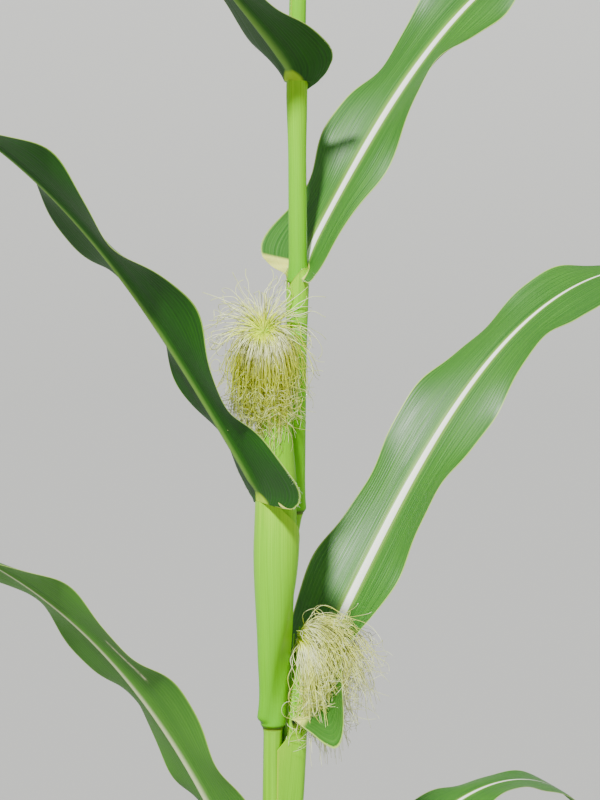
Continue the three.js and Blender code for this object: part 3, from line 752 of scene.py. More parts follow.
@dataclass(frozen=True)
class LeafSkin:
    """One side of a maize blade: living leaf, with a waxed skin over parallel veins.

    The wax gives a broad pale sheen, broken lengthwise by the veins; the pithy midrib is nearly white above.
    Real side veins stand about 1.5 mm apart, too fine to show here, so each one that is drawn stands for two.

    Attributes:
        lamina: colour between the veins where the leaf is fullest.
        midrib_width: width of the midrib at the collar, in millimetres.
        midrib_edge: shares of the midrib's half width between which its colour ends.
        midrib_end: share of the blade where the midrib is down to a line.
        collar: colour of the collar and the auricles.
        collar_end: how far along the blade that colour reaches, in millimetres.
        collar_taper: how much less far it reaches at the margins.
        vein_share: how strongly the side veins show.
        specular: how strongly the wax reflects.
        glow: share of light that scatters within the leaf.
        ring_span: where the seam below the collar ends, in millimetres along the blade.
    """

    name: str
    lamina: str
    shade: str
    vein: str
    midrib: str
    beside: str
    midrib_width: float
    midrib_edge: tuple[float, float]
    midrib_end: float
    collar: str
    collar_end: float
    collar_taper: float
    margin: str
    vein_share: float
    roughness: float
    specular: float
    glow: float
    beside_edge: tuple[float, float] = (0.9, 2.6)
    line_width: float = 1.2
    vein_spacing: float = 3.1
    streak_size: tuple[float, float] = (200.0, 2.4)
    patch_size: float = 1000 / 9
    scar_size: tuple[float, float] = (6.25, 2.0)
    scar: str = "#d6d3ae"
    ring: str = "#7aa312"
    ring_span: tuple[float, float] = (-9.5, -6.0)

    def draw_streaks(self, tree: Tree, uv: Socket) -> Socket:
        """Noise that is drawn out along the leaf."""
        at = add_node(tree, "Mapping", {"Vector": uv, "Scale": pattern_scale(*self.streak_size)})[0]
        return add_node(tree, "TexNoise", {"Vector": at, "Scale": 1.0, "Detail": 3.0, "Roughness": 0.6})[0]

    def mask_patches(self, tree: Tree) -> Socket:
        """Where the leaf is darker in wide soft patches."""
        spot = add_node(tree, "TexCoord")["Object"]
        scale = pattern_scale(self.patch_size)[0]
        clouds = add_node(tree, "TexNoise", {"Vector": spot, "Scale": scale, "Detail": 2.0})[0]
        return add_node(tree, "MapRange", (clouds, 0.35, 0.7, 0.0, 0.55))[0]

    def mask_veins(self, tree: Tree, away: Socket) -> Socket:
        """Where the side veins run, from their distance to the midrib."""
        turns = 2 * math.pi / (self.vein_spacing * MM)
        waves = add_node(tree, "Math", (away, turns), operation="MULTIPLY")[0]
        ridges = add_node(tree, "Math", (waves,), operation="COSINE")[0]
        span = (ridges, 0.3, 1.0, 0.0, self.vein_share)
        return add_node(tree, "MapRange", span, interpolation_type=SMOOTH)[0]

    def mask_midrib(self, tree: Tree, away: Socket) -> list[Socket]:
        """Where the midrib runs, and where the band beside it does; both narrow along the blade."""
        along = add_node(tree, "Attribute", attribute_name="along")["Fac"]
        ends = (self.midrib_width / 2 * MM, self.line_width / 2 * MM)
        half = add_node(tree, "MapRange", (along, 0.0, self.midrib_end, *ends))[0]
        share = add_node(tree, "Math", (away, half), operation="DIVIDE")[0]
        spans = ((*self.midrib_edge, 1.0, 0.0), (*self.beside_edge, 0.7, 0.0))
        return [add_node(tree, "MapRange", (share, *span), interpolation_type=SMOOTH)[0] for span in spans]

    def mask_scar(self, tree: Tree, uv: Socket) -> Socket:
        """Where insects have fed: a ragged pale scar in line with the veins, on the blade that has one."""
        at = add_node(tree, "Mapping", {"Vector": uv, "Scale": pattern_scale(*self.scar_size)})[0]
        shreds = add_node(tree, "TexNoise", {"Vector": at, "Scale": 1.0, "Detail": 2.0})[0]
        torn = add_node(tree, "MapRange", (shreds, 0.35, 0.5, 0.15, 1.0))[0]
        spots = add_node(tree, "Attribute", attribute_name="spots")["Fac"]
        return add_node(tree, "Math", (torn, spots), operation="MULTIPLY")[0]

    def mask_collar(self, tree: Tree, gone: Socket, edge: Socket) -> list[Socket]:
        """Where the collar's colour shows, and where the seam below it does.

        Args:
            tree: the material's node tree.
            gone: distance along the blade, in metres.
            edge: 0 at the midrib and 1 at the margins.

        Returns:
            The two masks.
        """
        narrow = add_node(tree, "MapRange", (edge, 0.1, 0.6, 0.0, self.collar_taper * MM))[0]
        at = add_node(tree, "Math", (gone, narrow), operation="ADD")[0]
        start, end = (self.collar_end * share * MM for share in (0.55, 1.0))
        first, last = (place * MM for place in self.ring_span)
        spans = ((at, start, end, 1.0, 0.0), (gone, first, last, 0.8, 0.0))
        return [add_node(tree, "MapRange", span, interpolation_type=SMOOTH)[0] for span in spans]

    def build(self) -> Material:
        """Makes the material."""
        material, tree, shader = new_material(self.name)
        uv = add_node(tree, "UVMap", uv_map=LEAF_UV)[0]
        place = add_node(tree, "SeparateXYZ", (uv,))
        away = add_node(tree, "Math", (place[1],), operation="ABSOLUTE")[0]
        across = add_node(tree, "Attribute", attribute_name="across")["Fac"]
        edge = add_node(tree, "Math", (across,), operation="ABSOLUTE")[0]
        streaks = self.draw_streaks(tree, uv)
        veins = self.mask_veins(tree, away)
        rib, beside = self.mask_midrib(tree, away)
        collar, ring = self.mask_collar(tree, place[0], edge)
        layers = (
            (add_node(tree, "MapRange", (streaks, 0.32, 0.68))[0], self.lamina),
            (self.mask_patches(tree), self.shade),
            (veins, self.vein),
            (beside, self.beside),
            (rib, self.midrib),
            (self.mask_scar(tree, uv), self.scar),
            (add_node(tree, "MapRange", (edge, 0.972, 0.99, 0.0, 0.85))[0], self.margin),
            (collar, self.collar),
            (ring, self.ring),
        )
        colour = self.shade
        for mask, laid in layers:
            colour = add_node(tree, "Mix", {0: mask, MIX_A: colour, MIX_B: laid}, data_type="RGBA")[MIXED]
        raised = add_node(tree, "Math", (streaks, veins), operation="ADD")[0]
        off_rib = add_node(tree, "Math", (1.0, rib), operation="SUBTRACT")[0]
        relief = add_node(tree, "Math", (raised, off_rib), operation="MULTIPLY")[0]
        gloss = (self.roughness - 0.06, self.roughness + 0.14)
        shading = {
            "Base Color": colour,
            "Roughness": add_node(tree, "MapRange", (streaks, 0.3, 0.7, *gloss))[0],
            "Normal": add_node(tree, "Bump", {"Strength": 0.6, "Distance": 1.0 * MM, "Height": relief})[0],
            "Specular IOR Level": self.specular,
            "Subsurface Weight": self.glow,
            "Subsurface Radius": (0.8, 1.4, 0.3),
            "Subsurface Scale": 1.2 * MM,
        }
        feed(tree, shader, shading)
        return material


# The upper side has the wax: a deep green with a soft pale sheen and a nearly white midrib.
UPPER_SIDE = LeafSkin(
    name="maize leaf upper side",
    lamina="#468422",
    shade="#2c651c",
    vein="#66a03a",
    midrib="#fdfff0",
    beside="#86b040",
    midrib_width=12.0,
    midrib_edge=(0.8, 1.1),
    midrib_end=0.8,
    collar="#e4ec70",
    collar_end=7.0,
    collar_taper=0.0,
    margin="#b2d060",
    vein_share=0.16,
    roughness=0.43,
    specular=0.55,
    glow=0.15,
)
# The lower side has hardly any wax, so it is duller, and its midrib is a round green rib. Its dark green is
# painted shade, for a lower side turned from the light, and its collar colour narrows towards the margins so
# that the auricles keep that painted shade.
LOWER_SIDE = LeafSkin(
    name="maize leaf lower side",
    lamina="#1d5804",
    shade="#123f02",
    vein="#2c6c0c",
    midrib="#6f9c3c",
    beside="#28620a",
    midrib_width=9.0,
    midrib_edge=(0.1, 1.5),
    midrib_end=0.75,
    collar="#a4d010",
    collar_end=12.0,
    collar_taper=18.0,
    margin="#9cc44c",
    vein_share=0.2,
    roughness=0.55,
    specular=0.3,
    glow=0.15,
)
# The lowest leaves' lower side is lighter, without the painted shade of the leaves above, and its midrib is
# pale below too.
UNSHADED_LOWER_SIDE = replace(
    LOWER_SIDE,
    name="unshaded maize leaf underside",
    lamina="#4c8426",
    shade="#3a701e",
    vein="#5f903a",
    midrib="#c8d4a0",
    beside="#588c32",
)


@dataclass(frozen=True)
class SheathSkin:
    """Outside of a leaf sheath: smooth living leaf, ribbed lengthwise, brightest at its foot.

    Its thin skin lets the sun through, so it glows a clear yellow-green, with little gloss. Real ribs are
    less than 1 mm apart, too fine to show here, so each one that is drawn stands for a few.

    Attributes:
        stops: colours from the sheath's foot to its collar.
        rib: colour of the fine veins.
        ring: colour of the dark seam where the sheath joins the stalk.
        edge: colour of its thin free margins.
    """

    name: str
    stops: tuple[tuple[float, str], ...]
    rib: str
    ring: str
    edge: str
    rib_spacing: float = 2.1
    roughness: float = 0.38
    streak_size: tuple[float, float] = (1000 / 6, 1000 / 420)
    ring_span: tuple[float, float] = (0.8, 4.0)

    def build(self) -> Material:
        """Makes the material."""
        material, tree, shader = new_material(self.name)
        uv = add_node(tree, "UVMap", uv_map=LEAF_UV)[0]
        place = add_node(tree, "SeparateXYZ", (uv,))
        along = add_node(tree, "Attribute", attribute_name="along")["Fac"]
        across = add_node(tree, "Attribute", attribute_name="across")["Fac"]
        at = add_node(tree, "Mapping", {"Vector": uv, "Scale": pattern_scale(*self.streak_size)})[0]
        pattern = {"Vector": at, "Scale": 1.0, "Detail": 3.0, "Roughness": 0.65}
        streaks = add_node(tree, "TexNoise", pattern)[0]
        turns = 2 * math.pi / (self.rib_spacing * MM)
        waves = add_node(tree, "Math", (place[1], turns), operation="MULTIPLY")[0]
        ribs = add_node(tree, "Math", (waves,), operation="SINE")[0]
        ribbed = add_node(tree, "MapRange", (ribs, 0.2, 1.0, 0.0, 0.22))[0]
        seam = (place[0], *[height * MM for height in self.ring_span], 0.85, 0.0)
        margin = add_node(tree, "Math", (across,), operation="ABSOLUTE")[0]
        layers = (
            (add_node(tree, "MapRange", (streaks, 0.4, 0.75, 0.0, 0.7))[0], self.rib),
            (ribbed, self.rib),
            (add_node(tree, "MapRange", seam, interpolation_type=SMOOTH)[0], self.ring),
            (add_node(tree, "MapRange", (margin, 0.95, 0.985, 0.0, 0.9))[0], self.edge),
        )
        colour = add_node(tree, "ValToRGB", (along,), stops=self.stops)[0]
        for mask, laid in layers:
            colour = add_node(tree, "Mix", {0: mask, MIX_A: colour, MIX_B: laid}, data_type="RGBA")[MIXED]
        relief = add_node(tree, "Math", (streaks, ribbed), operation="ADD")[0]
        shading = {
            "Base Color": colour,
            "Normal": add_node(tree, "Bump", {"Strength": 0.3, "Distance": 0.3 * MM, "Height": relief})[0],
            "Roughness": self.roughness,
            "Specular IOR Level": 0.2,
            "Subsurface Weight": 0.15,
            "Subsurface Radius": (0.9, 1.4, 0.3),
            "Subsurface Scale": 1.5 * MM,
        }
        feed(tree, shader, shading)
        return material


# Sheaths round the stalk are darkest at their foot, where a brown seam joins them to it.
SHEATH = SheathSkin(
    name="maize leaf sheath",
    stops=((0.0, "#5cb800"), (0.12, "#70c800"), (0.6, "#82d400"), (0.88, "#90da00"), (1.0, "#a0dc14")),
    rib="#66b000",
    ring="#3f5208",
    edge="#a8cc30",
)
# Husk leaves are softer and lie over one another: paler at their foot, with flatter ribs farther apart.
HUSK = SheathSkin(
    name="maize husk leaf",
    stops=((0.0, "#94d400"), (0.5, "#90d800"), (0.85, "#80cc00"), (1.0, "#78c000")),
    rib="#6cb400",
    ring="#80b418",
    edge="#acd040",
    rib_spacing=2.6,
    roughness=0.42,
)


@dataclass(frozen=True)
class StalkSkin:
    """Rind of the stalk: hard, smooth and faintly grooved, with a darker ring at each joint.

    The hard rind gives it narrow highlights. Its grooves are finer than 1 mm and are drawn wider to show.
    """

    name: str = "maize stalk rind"
    rind: str = "#84cc00"
    groove: str = "#62a400"
    ring: str = "#566019"
    foot: str = "#7a6a3a"
    roughness: float = 0.36
    streak_size: tuple[float, float, float] = (1000 / 420, 1000 / 420, 1000 / 7)
    foot_span: tuple[float, float] = (10.0, 120.0)
    ring_span: tuple[float, float] = (1.2, 3.2)

    def build(self) -> Material:
        """Makes the material."""
        material, tree, shader = new_material(self.name)
        joint = add_node(tree, "Attribute", attribute_name="joint")["Fac"]
        spot = add_node(tree, "TexCoord")["Object"]
        height = add_node(tree, "SeparateXYZ", (spot,))[2]
        at = add_node(tree, "Mapping", {"Vector": spot, "Scale": pattern_scale(*self.streak_size)})[0]
        streaks = add_node(tree, "TexNoise", {"Vector": at, "Scale": 1.0, "Detail": 3.0})[0]
        layers = [(add_node(tree, "MapRange", (streaks, 0.4, 0.7, 0.0, 0.6))[0], self.groove)]
        for value, span, laid in ((height, self.foot_span, self.foot), (joint, self.ring_span, self.ring)):
            fade = (value, *[place * MM for place in span], 0.8, 0.0)
            layers.append((add_node(tree, "MapRange", fade, interpolation_type=SMOOTH)[0], laid))
        colour = self.rind
        for mask, laid in layers:
            colour = add_node(tree, "Mix", {0: mask, MIX_A: colour, MIX_B: laid}, data_type="RGBA")[MIXED]
        shading = {
            "Base Color": colour,
            "Normal": add_node(tree, "Bump", {"Strength": 0.25, "Distance": 0.3 * MM, "Height": streaks})[0],
            "Roughness": self.roughness,
            "Specular IOR Level": 0.25,
        }
        feed(tree, shader, shading)
        return material


@dataclass(frozen=True)
class ThreadSkin:
    """Silk and leaf hairs: fine moist fibre, whose colour changes along each thread and between threads.

    Moist fibre is glossy, so threads that catch the light show bright against the others.

    Attributes:
        stops: colours from the thread's root to its end, painted highlights among them.
        other: colour that single threads lean to.
        lean: how far they lean to it.
        lean_span: shares of the thread between which that starts.
    """

    name: str
    stops: tuple[tuple[float, str], ...]
    other: str
    lean: float = 0.6
    lean_span: tuple[float, float] = (0.02, 0.3)
    roughness: float = 0.3

    def build(self) -> Material:
        """Makes the material."""
        material, tree, shader = new_material(self.name)
        along = add_node(tree, "Attribute", attribute_name="along")["Fac"]
        tint = add_node(tree, "Attribute", attribute_name="tint")["Fac"]
        run = add_node(tree, "ValToRGB", (along,), stops=self.stops)[0]
        far = add_node(tree, "MapRange", (along, *self.lean_span, 0.0, self.lean))[0]
        share = add_node(tree, "Math", (tint, far), operation="MULTIPLY")[0]
        tinted = {0: share, MIX_A: run, MIX_B: self.other}
        shading = {
            "Base Color": add_node(tree, "Mix", tinted, data_type="RGBA")[MIXED],
            "Roughness": self.roughness,
            "Specular IOR Level": 0.6,
        }
        feed(tree, shader, shading)
        return material


# Fresh silk is yellow-green in its knot and straw-coloured where it hangs, there partly painted shade. The
# white band where it arches over is a painted highlight, and its pale ends partly one, for the light on its
# curls.
FRESH_SILK = ThreadSkin(
    name="fresh maize silk",
    stops=(
        (0.0, "#d2f000"),
        (0.11, "#ecfc20"),
        (0.23, "#fcffce"),
        (0.42, "#ccd830"),
        (0.8, "#cedc38"),
        (1.0, "#f4ffb0"),
    ),
    other="#8c8400",
)
# The lower ear's silk is paler all along, partly as a painted highlight for the light on its arching top; its
# white band is a painted highlight too, and fewer of its threads have browned.
PALE_SILK = ThreadSkin(
    name="pale maize silk with painted highlight",
    stops=(
        (0.0, "#d2f000"),
        (0.12, "#f0fc30"),
        (0.25, "#fcffce"),
        (0.5, "#dfe862"),
        (0.8, "#dce670"),
        (1.0, "#f8ffd0"),
    ),
    other="#b0a840",
    lean=0.4,
)
# Hairs of the leaf's margins have no colour of their own; their near-white colour is a painted highlight, for
# the sun on them.
PALE_HAIR = ThreadSkin(
    name="pale leaf hair",
    stops=((0.0, "#cfd9a8"), (1.0, "#f0f2e2")),
    other="#e6e6cf",
)


@dataclass(frozen=True)
class ScaleSkin:
    """Small dry-edged parts such as spikelets, anthers, ligules and roots: mottled, matt plant skin."""

    name: str
    light: str
    dark: str
    grain: float
    roughness: float = 0.65

    def build(self) -> Material:
        """Makes the material."""
        material, tree, shader = new_material(self.name)
        spot = add_node(tree, "TexCoord")["Object"]
        scale = pattern_scale(self.grain)[0]
        mottle = add_node(tree, "TexNoise", {"Vector": spot, "Scale": scale, "Detail": 3.0})[0]
        share = add_node(tree, "MapRange", (mottle, 0.35, 0.65))[0]
        mixed = {0: share, MIX_A: self.dark, MIX_B: self.light}
        shading = {
            "Base Color": add_node(tree, "Mix", mixed, data_type="RGBA")[MIXED],
            "Normal": add_node(tree, "Bump", {"Strength": 0.3, "Distance": 0.3 * MM, "Height": mottle})[0],
            "Roughness": self.roughness,
        }
        feed(tree, shader, shading)
        return material


# Dry and matt: a thin pale skin, green glumes that dry to straw, dusty anthers and rough reddish bark.
LIGULE = ScaleSkin("dry ligule membrane", "#dcd9ac", "#b7b277", 3.0)
SPIKELET = ScaleSkin("tassel spikelet", "#b9b35a", "#8c9440", 5.0)
TASSEL_AXIS = ScaleSkin("tassel axis", "#98a848", "#7f9440", 6.0)
ANTHER = ScaleSkin("ripe anther", "#d8bd5a", "#a97f4a", 2.0)
ROOT = ScaleSkin("brace root bark", "#9a9a4e", "#8a5a3c", 14.0)


# Pieces


@dataclass
class Stalk:
    """The jointed stalk and the brace roots round its foot.

    Attributes:
        joint_profile: rise over a joint, and share of the swelling there, of each ring beside it.
        ring_gap: the least gap between a joint and a plain ring.
        root_spread: how far from the stalk's middle a root meets the ground.
        root_variety: how much that differs between roots, as a share.
        root_turn: how far a root stands from its even place round the stalk, in degrees.
        root_knots: how much the thickness of a root varies, as a share.
    """

    form: StalkForm = STALK
    sides: int = 40
    joint_profile: tuple[tuple[float, float], ...] = (
        (-8, 0), (-4, 0.35), (-1.6, 0.9), (-0.7, 0.3),
        (0.7, 0.3), (2, 0.9), (6, 0.6), (10, 0),
    )
    ring_gap: float = 14.0
    root_count: int = 9
    root_radius: float = 3.4
    root_tip_radius: float = 2.6
    root_spread: float = 52.0
    root_variety: float = 0.16
    root_turn: float = 11.0
    root_knots: float = 0.07
    root_sides: int = 12
    root_steps: int = 10

    def outline(self) -> list[tuple[float, float]]:
        """Heights and radii of the stalk's rings, with a swelling and a groove at each joint."""
        rings = [(0.0, float(self.form.radius(0)))]
        for low, joint in zip([0.0, *self.form.joints], self.form.joints):
            radius, swell = float(self.form.radius(joint)), self.form.swelling
            for share in (0.35, 0.7):
                height = lerp(low, joint, share)
                if min(height - low, joint - height) > self.ring_gap:
                    rings.append((height, float(self.form.radius(height))))
            rings += [(joint + rise, radius + swell * share) for rise, share in self.joint_profile]
        rings.append((self.form.tassel_foot, self.form.tassel_radius))
        return rings

    def build_stalk(self) -> Piece:
        """Extrudes the stalk ring by ring from its flat cut at the ground."""
        rings = self.outline()
        deselect()
        ground_radius = rings[0][1] * MM
        bpy.ops.mesh.primitive_circle_add(vertices=self.sides, radius=ground_radius, fill_type="NGON")
        stalk = bpy.context.object
        stalk.name = stalk.data.name = "stalk"
        bpy.ops.object.mode_set(mode="EDIT")
        bpy.ops.mesh.select_all(action="SELECT")
        bpy.ops.mesh.flip_normals()
        for (low, thick), (high, thin) in zip(rings, rings[1:]):
            shift = (self.form.centre(high) - self.form.centre(low)) * MM
            middle = tuple(self.form.centre(high) * MM)
            bpy.ops.mesh.extrude_region_move(TRANSFORM_OT_translate={"value": tuple(shift)})
            bpy.ops.transform.resize(value=(thin / thick, thin / thick, 1), center_override=middle)
        bpy.ops.mesh.select_all(action="SELECT")
        bpy.ops.mesh.normals_make_consistent(inside=False)
        bpy.ops.object.mode_set(mode="OBJECT")
        heights = np.array([vertex.co.z for vertex in stalk.data.vertices]) / MM
        joint = np.abs(heights[:, None] - self.form.joints).min(axis=1)
        write_attribute(stalk.data, "joint", joint * MM)
        stalk.data.materials.append(StalkSkin().build())
        shade(stalk, 70)
        return stalk

    def build_root(self) -> Piece:
        """Spins one brace root from the first joint down to the ground, in a quarter turn."""
        deselect()
        drop = self.form.first_joint * MM
        bpy.ops.mesh.primitive_circle_add(
            vertices=self.root_sides,
            radius=self.root_radius * MM,
            fill_type="NGON",
            location=(0, 0, drop),
            rotation=(0, math.pi / 2, 0),
        )
        root = bpy.context.object
        bpy.ops.object.transform_apply(location=True, rotation=True, scale=True)
        bpy.ops.object.mode_set(mode="EDIT")
        bpy.ops.mesh.select_all(action="SELECT")
        bpy.ops.mesh.spin(
            steps=self.root_steps,
            angle=math.pi / 2,
            center=(0, 0, 0),
            axis=(0, 1, 0),
            use_auto_merge=False,
        )
        bpy.ops.mesh.select_all(action="SELECT")
        bpy.ops.mesh.remove_doubles(threshold=1e-6)
        bpy.ops.mesh.normals_make_consistent(inside=False)
        bpy.ops.object.mode_set(mode="OBJECT")
        return root

    def build_roots(self) -> Piece:
        """Copies the brace root round the stalk, each with its own reach and taper."""
        first = self.build_root()
        roots = []
        for number in range(self.root_count):
            root = first.copy()
            root.data = first.data.copy()
            bpy.context.scene.collection.objects.link(root)
            turn = 360 * number / self.root_count + self.root_turn * math.sin(5 * number)
            start = self.form.ground_radius * 0.5
            reach = self.root_spread * (1 + self.root_variety * math.sin(7 * number + 1))
            stretch = (reach - start) / self.form.first_joint
            for vertex in root.data.vertices:
                angle = math.atan2(vertex.co.x, max(vertex.co.z, 0))
                share = angle / (math.pi / 2)
                wave = 1 + self.root_knots * math.sin(9 * share + 2.1 * number)
                size = lerp(1, self.root_tip_radius / self.root_radius, share) * wave
                middle = Vector((math.sin(angle), 0, math.cos(angle))) * self.form.first_joint * MM
                vertex.co = middle + (vertex.co - middle) * size
                vertex.co.x *= stretch
                vertex.co.z = max(vertex.co.z, 0)
            outwards = Matrix.Translation((start * MM, 0, 0))
            root.data.transform(Matrix.Rotation(math.radians(turn), 4, "Z") @ outwards)
            roots.append(root)
        bpy.data.objects.remove(first)
        roots = join(roots, "brace_roots")
        roots.data.materials.clear()
        roots.data.materials.append(ROOT.build())
        shade(roots, 60)
        return roots

    def build(self) -> None:
        """Makes the stalk and its roots and seats them in place of the CAD stem."""
        hand_in(self.build_stalk(), ["stem"])
        hand_in(self.build_roots(), [])


@dataclass
class Leaf:
    """One leaf: the sheath round its joint, the ligule at the collar and the blade.

    Attributes:
        collar_rows: how many of the blade's rows are in its collar.
        midrib_crowding: how much closer its columns are at the midrib than at the margins.
        collar_crowding: how much closer its rows are near the collar than near the tip.
        keel_width: distance from the midrib's middle where its keel has mostly ended.
        ligule_half_turn: the most that the ligule reaches round, each way, in degrees.
        mark_across: place of a feeding mark across the blade, 0 at the midrib and 1 at the right margin.
        mark_width: its half width, in the same measure.
        mark_start: shares of the blade between which it starts.
        mark_end: shares of the blade between which it ends.
        last_unshaded: the last leaf from the ground whose lower side has no painted shade; the leaves above
            it take the lower side in painted shade.
    """

    form: LeafForm
    skins: dict[str, Material]
    columns: int = 44
    rows: int = 200
    collar_rows: int = 16
    midrib_crowding: float = 1.15
    collar_crowding: float = 1.3
    lamina_thickness: float = 0.45
    keel_depth: float = 5.5
    keel_width: float = 4.4
    sheath_columns: int = 72
    sheath_rows: int = 64
    sheath_thickness: float = 0.8
    ligule_columns: int = 90
    ligule_rows: int = 6
    ligule_height: float = 3.0
    ligule_thickness: float = 0.25
    ligule_half_turn: float = 176.0
    mark_across: float = 0.5
    mark_width: float = 0.03
    mark_start: tuple[float, float] = (0.375, 0.385)
    mark_end: tuple[float, float] = (0.45, 0.46)
    last_unshaded: int = 4

    @property
    def label(self) -> str:
        """The leaf's number, with two digits."""
        return f"{self.form.number:02d}"

    def held_share(self, hold: float) -> float:
        """Share of the sheath's edge that lies within an angle to each side of the blade."""
        half_turn = float(self.form.half_turn(np.array([self.form.collar_height]))[0])
        return min(hold / half_turn, 1.0)

    def collar_point(self, across: Array, share: Array) -> Array:
        """Points of the collar, which runs up from the sheath's edge and opens into the blade.

        Args:
            across: places across the blade, -1 to 1.
            share: 0 on the sheath's edge and 1 on the blade's first row.

        Returns:
            A point for each of these places.
        """
        reach = self.held_share(self.form.hold)
        low = self.form.sheath_edge(across * reach, 1.0, self.lamina_thickness)
        zero = np.zeros_like(across)
        high = self.form.blade_point(across, zero)
        onward = unit(self.form.blade_point(across, zero + 0.004) - high)
        gap = np.linalg.norm(high - low, axis=-1, keepdims=True)
        pull = gap * 0.9 + 1.0
        s = share[:, None]
        from_low = (1 + 2 * s) * (1 - s) ** 2 * low + s * (1 - s) ** 2 * UP * pull
        return from_low + s**2 * (3 - 2 * s) * high - s**2 * (1 - s) * onward * pull

    def feeding_mark(self, across: Array, along: Array) -> Array:
        """How far insects have fed on places of the blade: one narrow streak, on the leaf that has one."""
        beside = np.exp(-(((across - self.mark_across) / self.mark_width) ** 2))
        within = smoothstep(along, *self.mark_start) * (1 - smoothstep(along, *self.mark_end))
        return self.form.spots * beside * within

    def thickness(self, across: Array, along: Array) -> Array:
        """Thickness of the blade at places on it, with the keel that its midrib forms below."""
        away = np.abs(across) * self.form.half_width(along)
        keel = self.keel_depth * np.exp(-((away / self.keel_width) ** 2)) * (1 - along) ** 1.2
        keel *= smoothstep(along * self.form.length, 0, 30) * self.form.width / 100
        return self.lamina_thickness + keel

    def build_blade(self) -> Piece:
        """Shapes the collar and the blade from a grid, with a keel under its midrib."""
        blade, across, rows = add_sheet(f"leaf_blade_{self.label}", self.columns, self.rows)
        across = np.sign(across) * np.abs(across) ** self.midrib_crowding
        row = rows * self.rows
        in_collar = row < self.collar_rows - 0.5
        collar = np.clip(row / self.collar_rows, 0, 1)
        along = np.clip((row - self.collar_rows) / (self.rows - self.collar_rows), 0, 1)
        along = along**self.collar_crowding
        low, high = self.collar_point(across, collar), self.form.blade_point(across, along)
        place_vertices(blade, np.where(in_collar[:, None], low, high))
        thick = self.thickness(across, along)
        group = blade.vertex_groups.new(name="thickness")
        for vertex, share in enumerate(thick / thick.max()):
            group.add([vertex], share, "REPLACE")
        gone = np.where(in_collar, (collar - 1) * 10, along * self.form.length) * MM
        write_uv(blade.data, np.stack([gone, across * self.form.width / 2 * MM], axis=-1))
        write_attribute(blade.data, "along", along)
        write_attribute(blade.data, "across", across)
        write_attribute(blade.data, "spots", self.feeding_mark(across, along))
        blade.data.flip_normals()
        # The lowest leaves take the lower side without painted shade, the others the one in painted shade.
        below = "unshaded lower" if self.form.number <= self.last_unshaded else "lower"
        for side in ("upper", below):
            blade.data.materials.append(self.skins[side])
        finish_with(
            blade,
            "SOLIDIFY",
            thickness=float(thick.max()) * MM,
            offset=-1,
            vertex_group="thickness",
            use_quality_normals=True,
            material_offset=1,
            material_offset_rim=0,
        )
        blade.vertex_groups.clear()
        shade(blade, 55)
        return blade

    def build_sheath(self) -> Piece:
        """Wraps the sheath round the stalk, its outer margin lapped over the inner one."""
        name = f"leaf_sheath_{self.label}"
        sheath, across, rows = add_sheet(name, self.sheath_columns, self.sheath_rows)
        share = (1 - np.cos(np.pi * rows)) / 2
        points = np.empty((len(across), 3))
        width = np.empty(len(across))
        for level in np.unique(np.round(share, 6)):
            row = np.abs(share - level) < 1e-5
            points[row] = self.form.sheath_edge(across[row], float(level))
            width[row] = distance(self.form.sheath_ring(float(level)))[-1]
        place_vertices(sheath, points)
        gone = points[:, 2] - STALK.joints[self.form.joint]
        write_uv(sheath.data, np.stack([gone, across * width / 2], axis=-1) * MM)
        write_attribute(sheath.data, "along", share)
        write_attribute(sheath.data, "across", across)
        sheath.data.materials.append(self.skins["sheath"])
        finish_with(sheath, "SOLIDIFY", thickness=self.sheath_thickness * MM, offset=-1)
        shade(sheath, 55)
        return sheath

    def build_ligule(self) -> Piece:
        """Stands the thin crinkled ligule round the stalk, inside the collar."""
        name = f"ligule_{self.label}"
        ligule, across, share = add_sheet(name, self.ligule_columns, self.ligule_rows)
        reach = self.held_share(min(self.form.hold, self.ligule_half_turn))
        wave = np.sin(across * 47 + self.form.number) + 0.6 * np.sin(across * 113)
        low = self.form.sheath_edge(across * reach, 0.995, 1.1)
        inner = self.form.sheath_edge(across * reach, 0.995, 2.6)
        inwards = unit(inner - low)
        tall = self.ligule_height + 0.5 * wave
        lean = (0.9 * share + 0.35 * wave * share)[:, None]
        place_vertices(ligule, low + UP * (tall * share)[:, None] + inwards * lean)
        ligule.data.materials.append(self.skins["ligule"])
        finish_with(ligule, "SOLIDIFY", thickness=self.ligule_thickness * MM, offset=0)
        shade(ligule, 60)
        return ligule

    def build(self) -> None:
        """Makes the leaf and seats it in place of its CAD sheath and blade."""
        hand_in(self.build_sheath(), [f"sheath_{self.label}"])
        hand_in(self.build_ligule(), [])
        hand_in(self.build_blade(), [f"blade_{self.label}"])


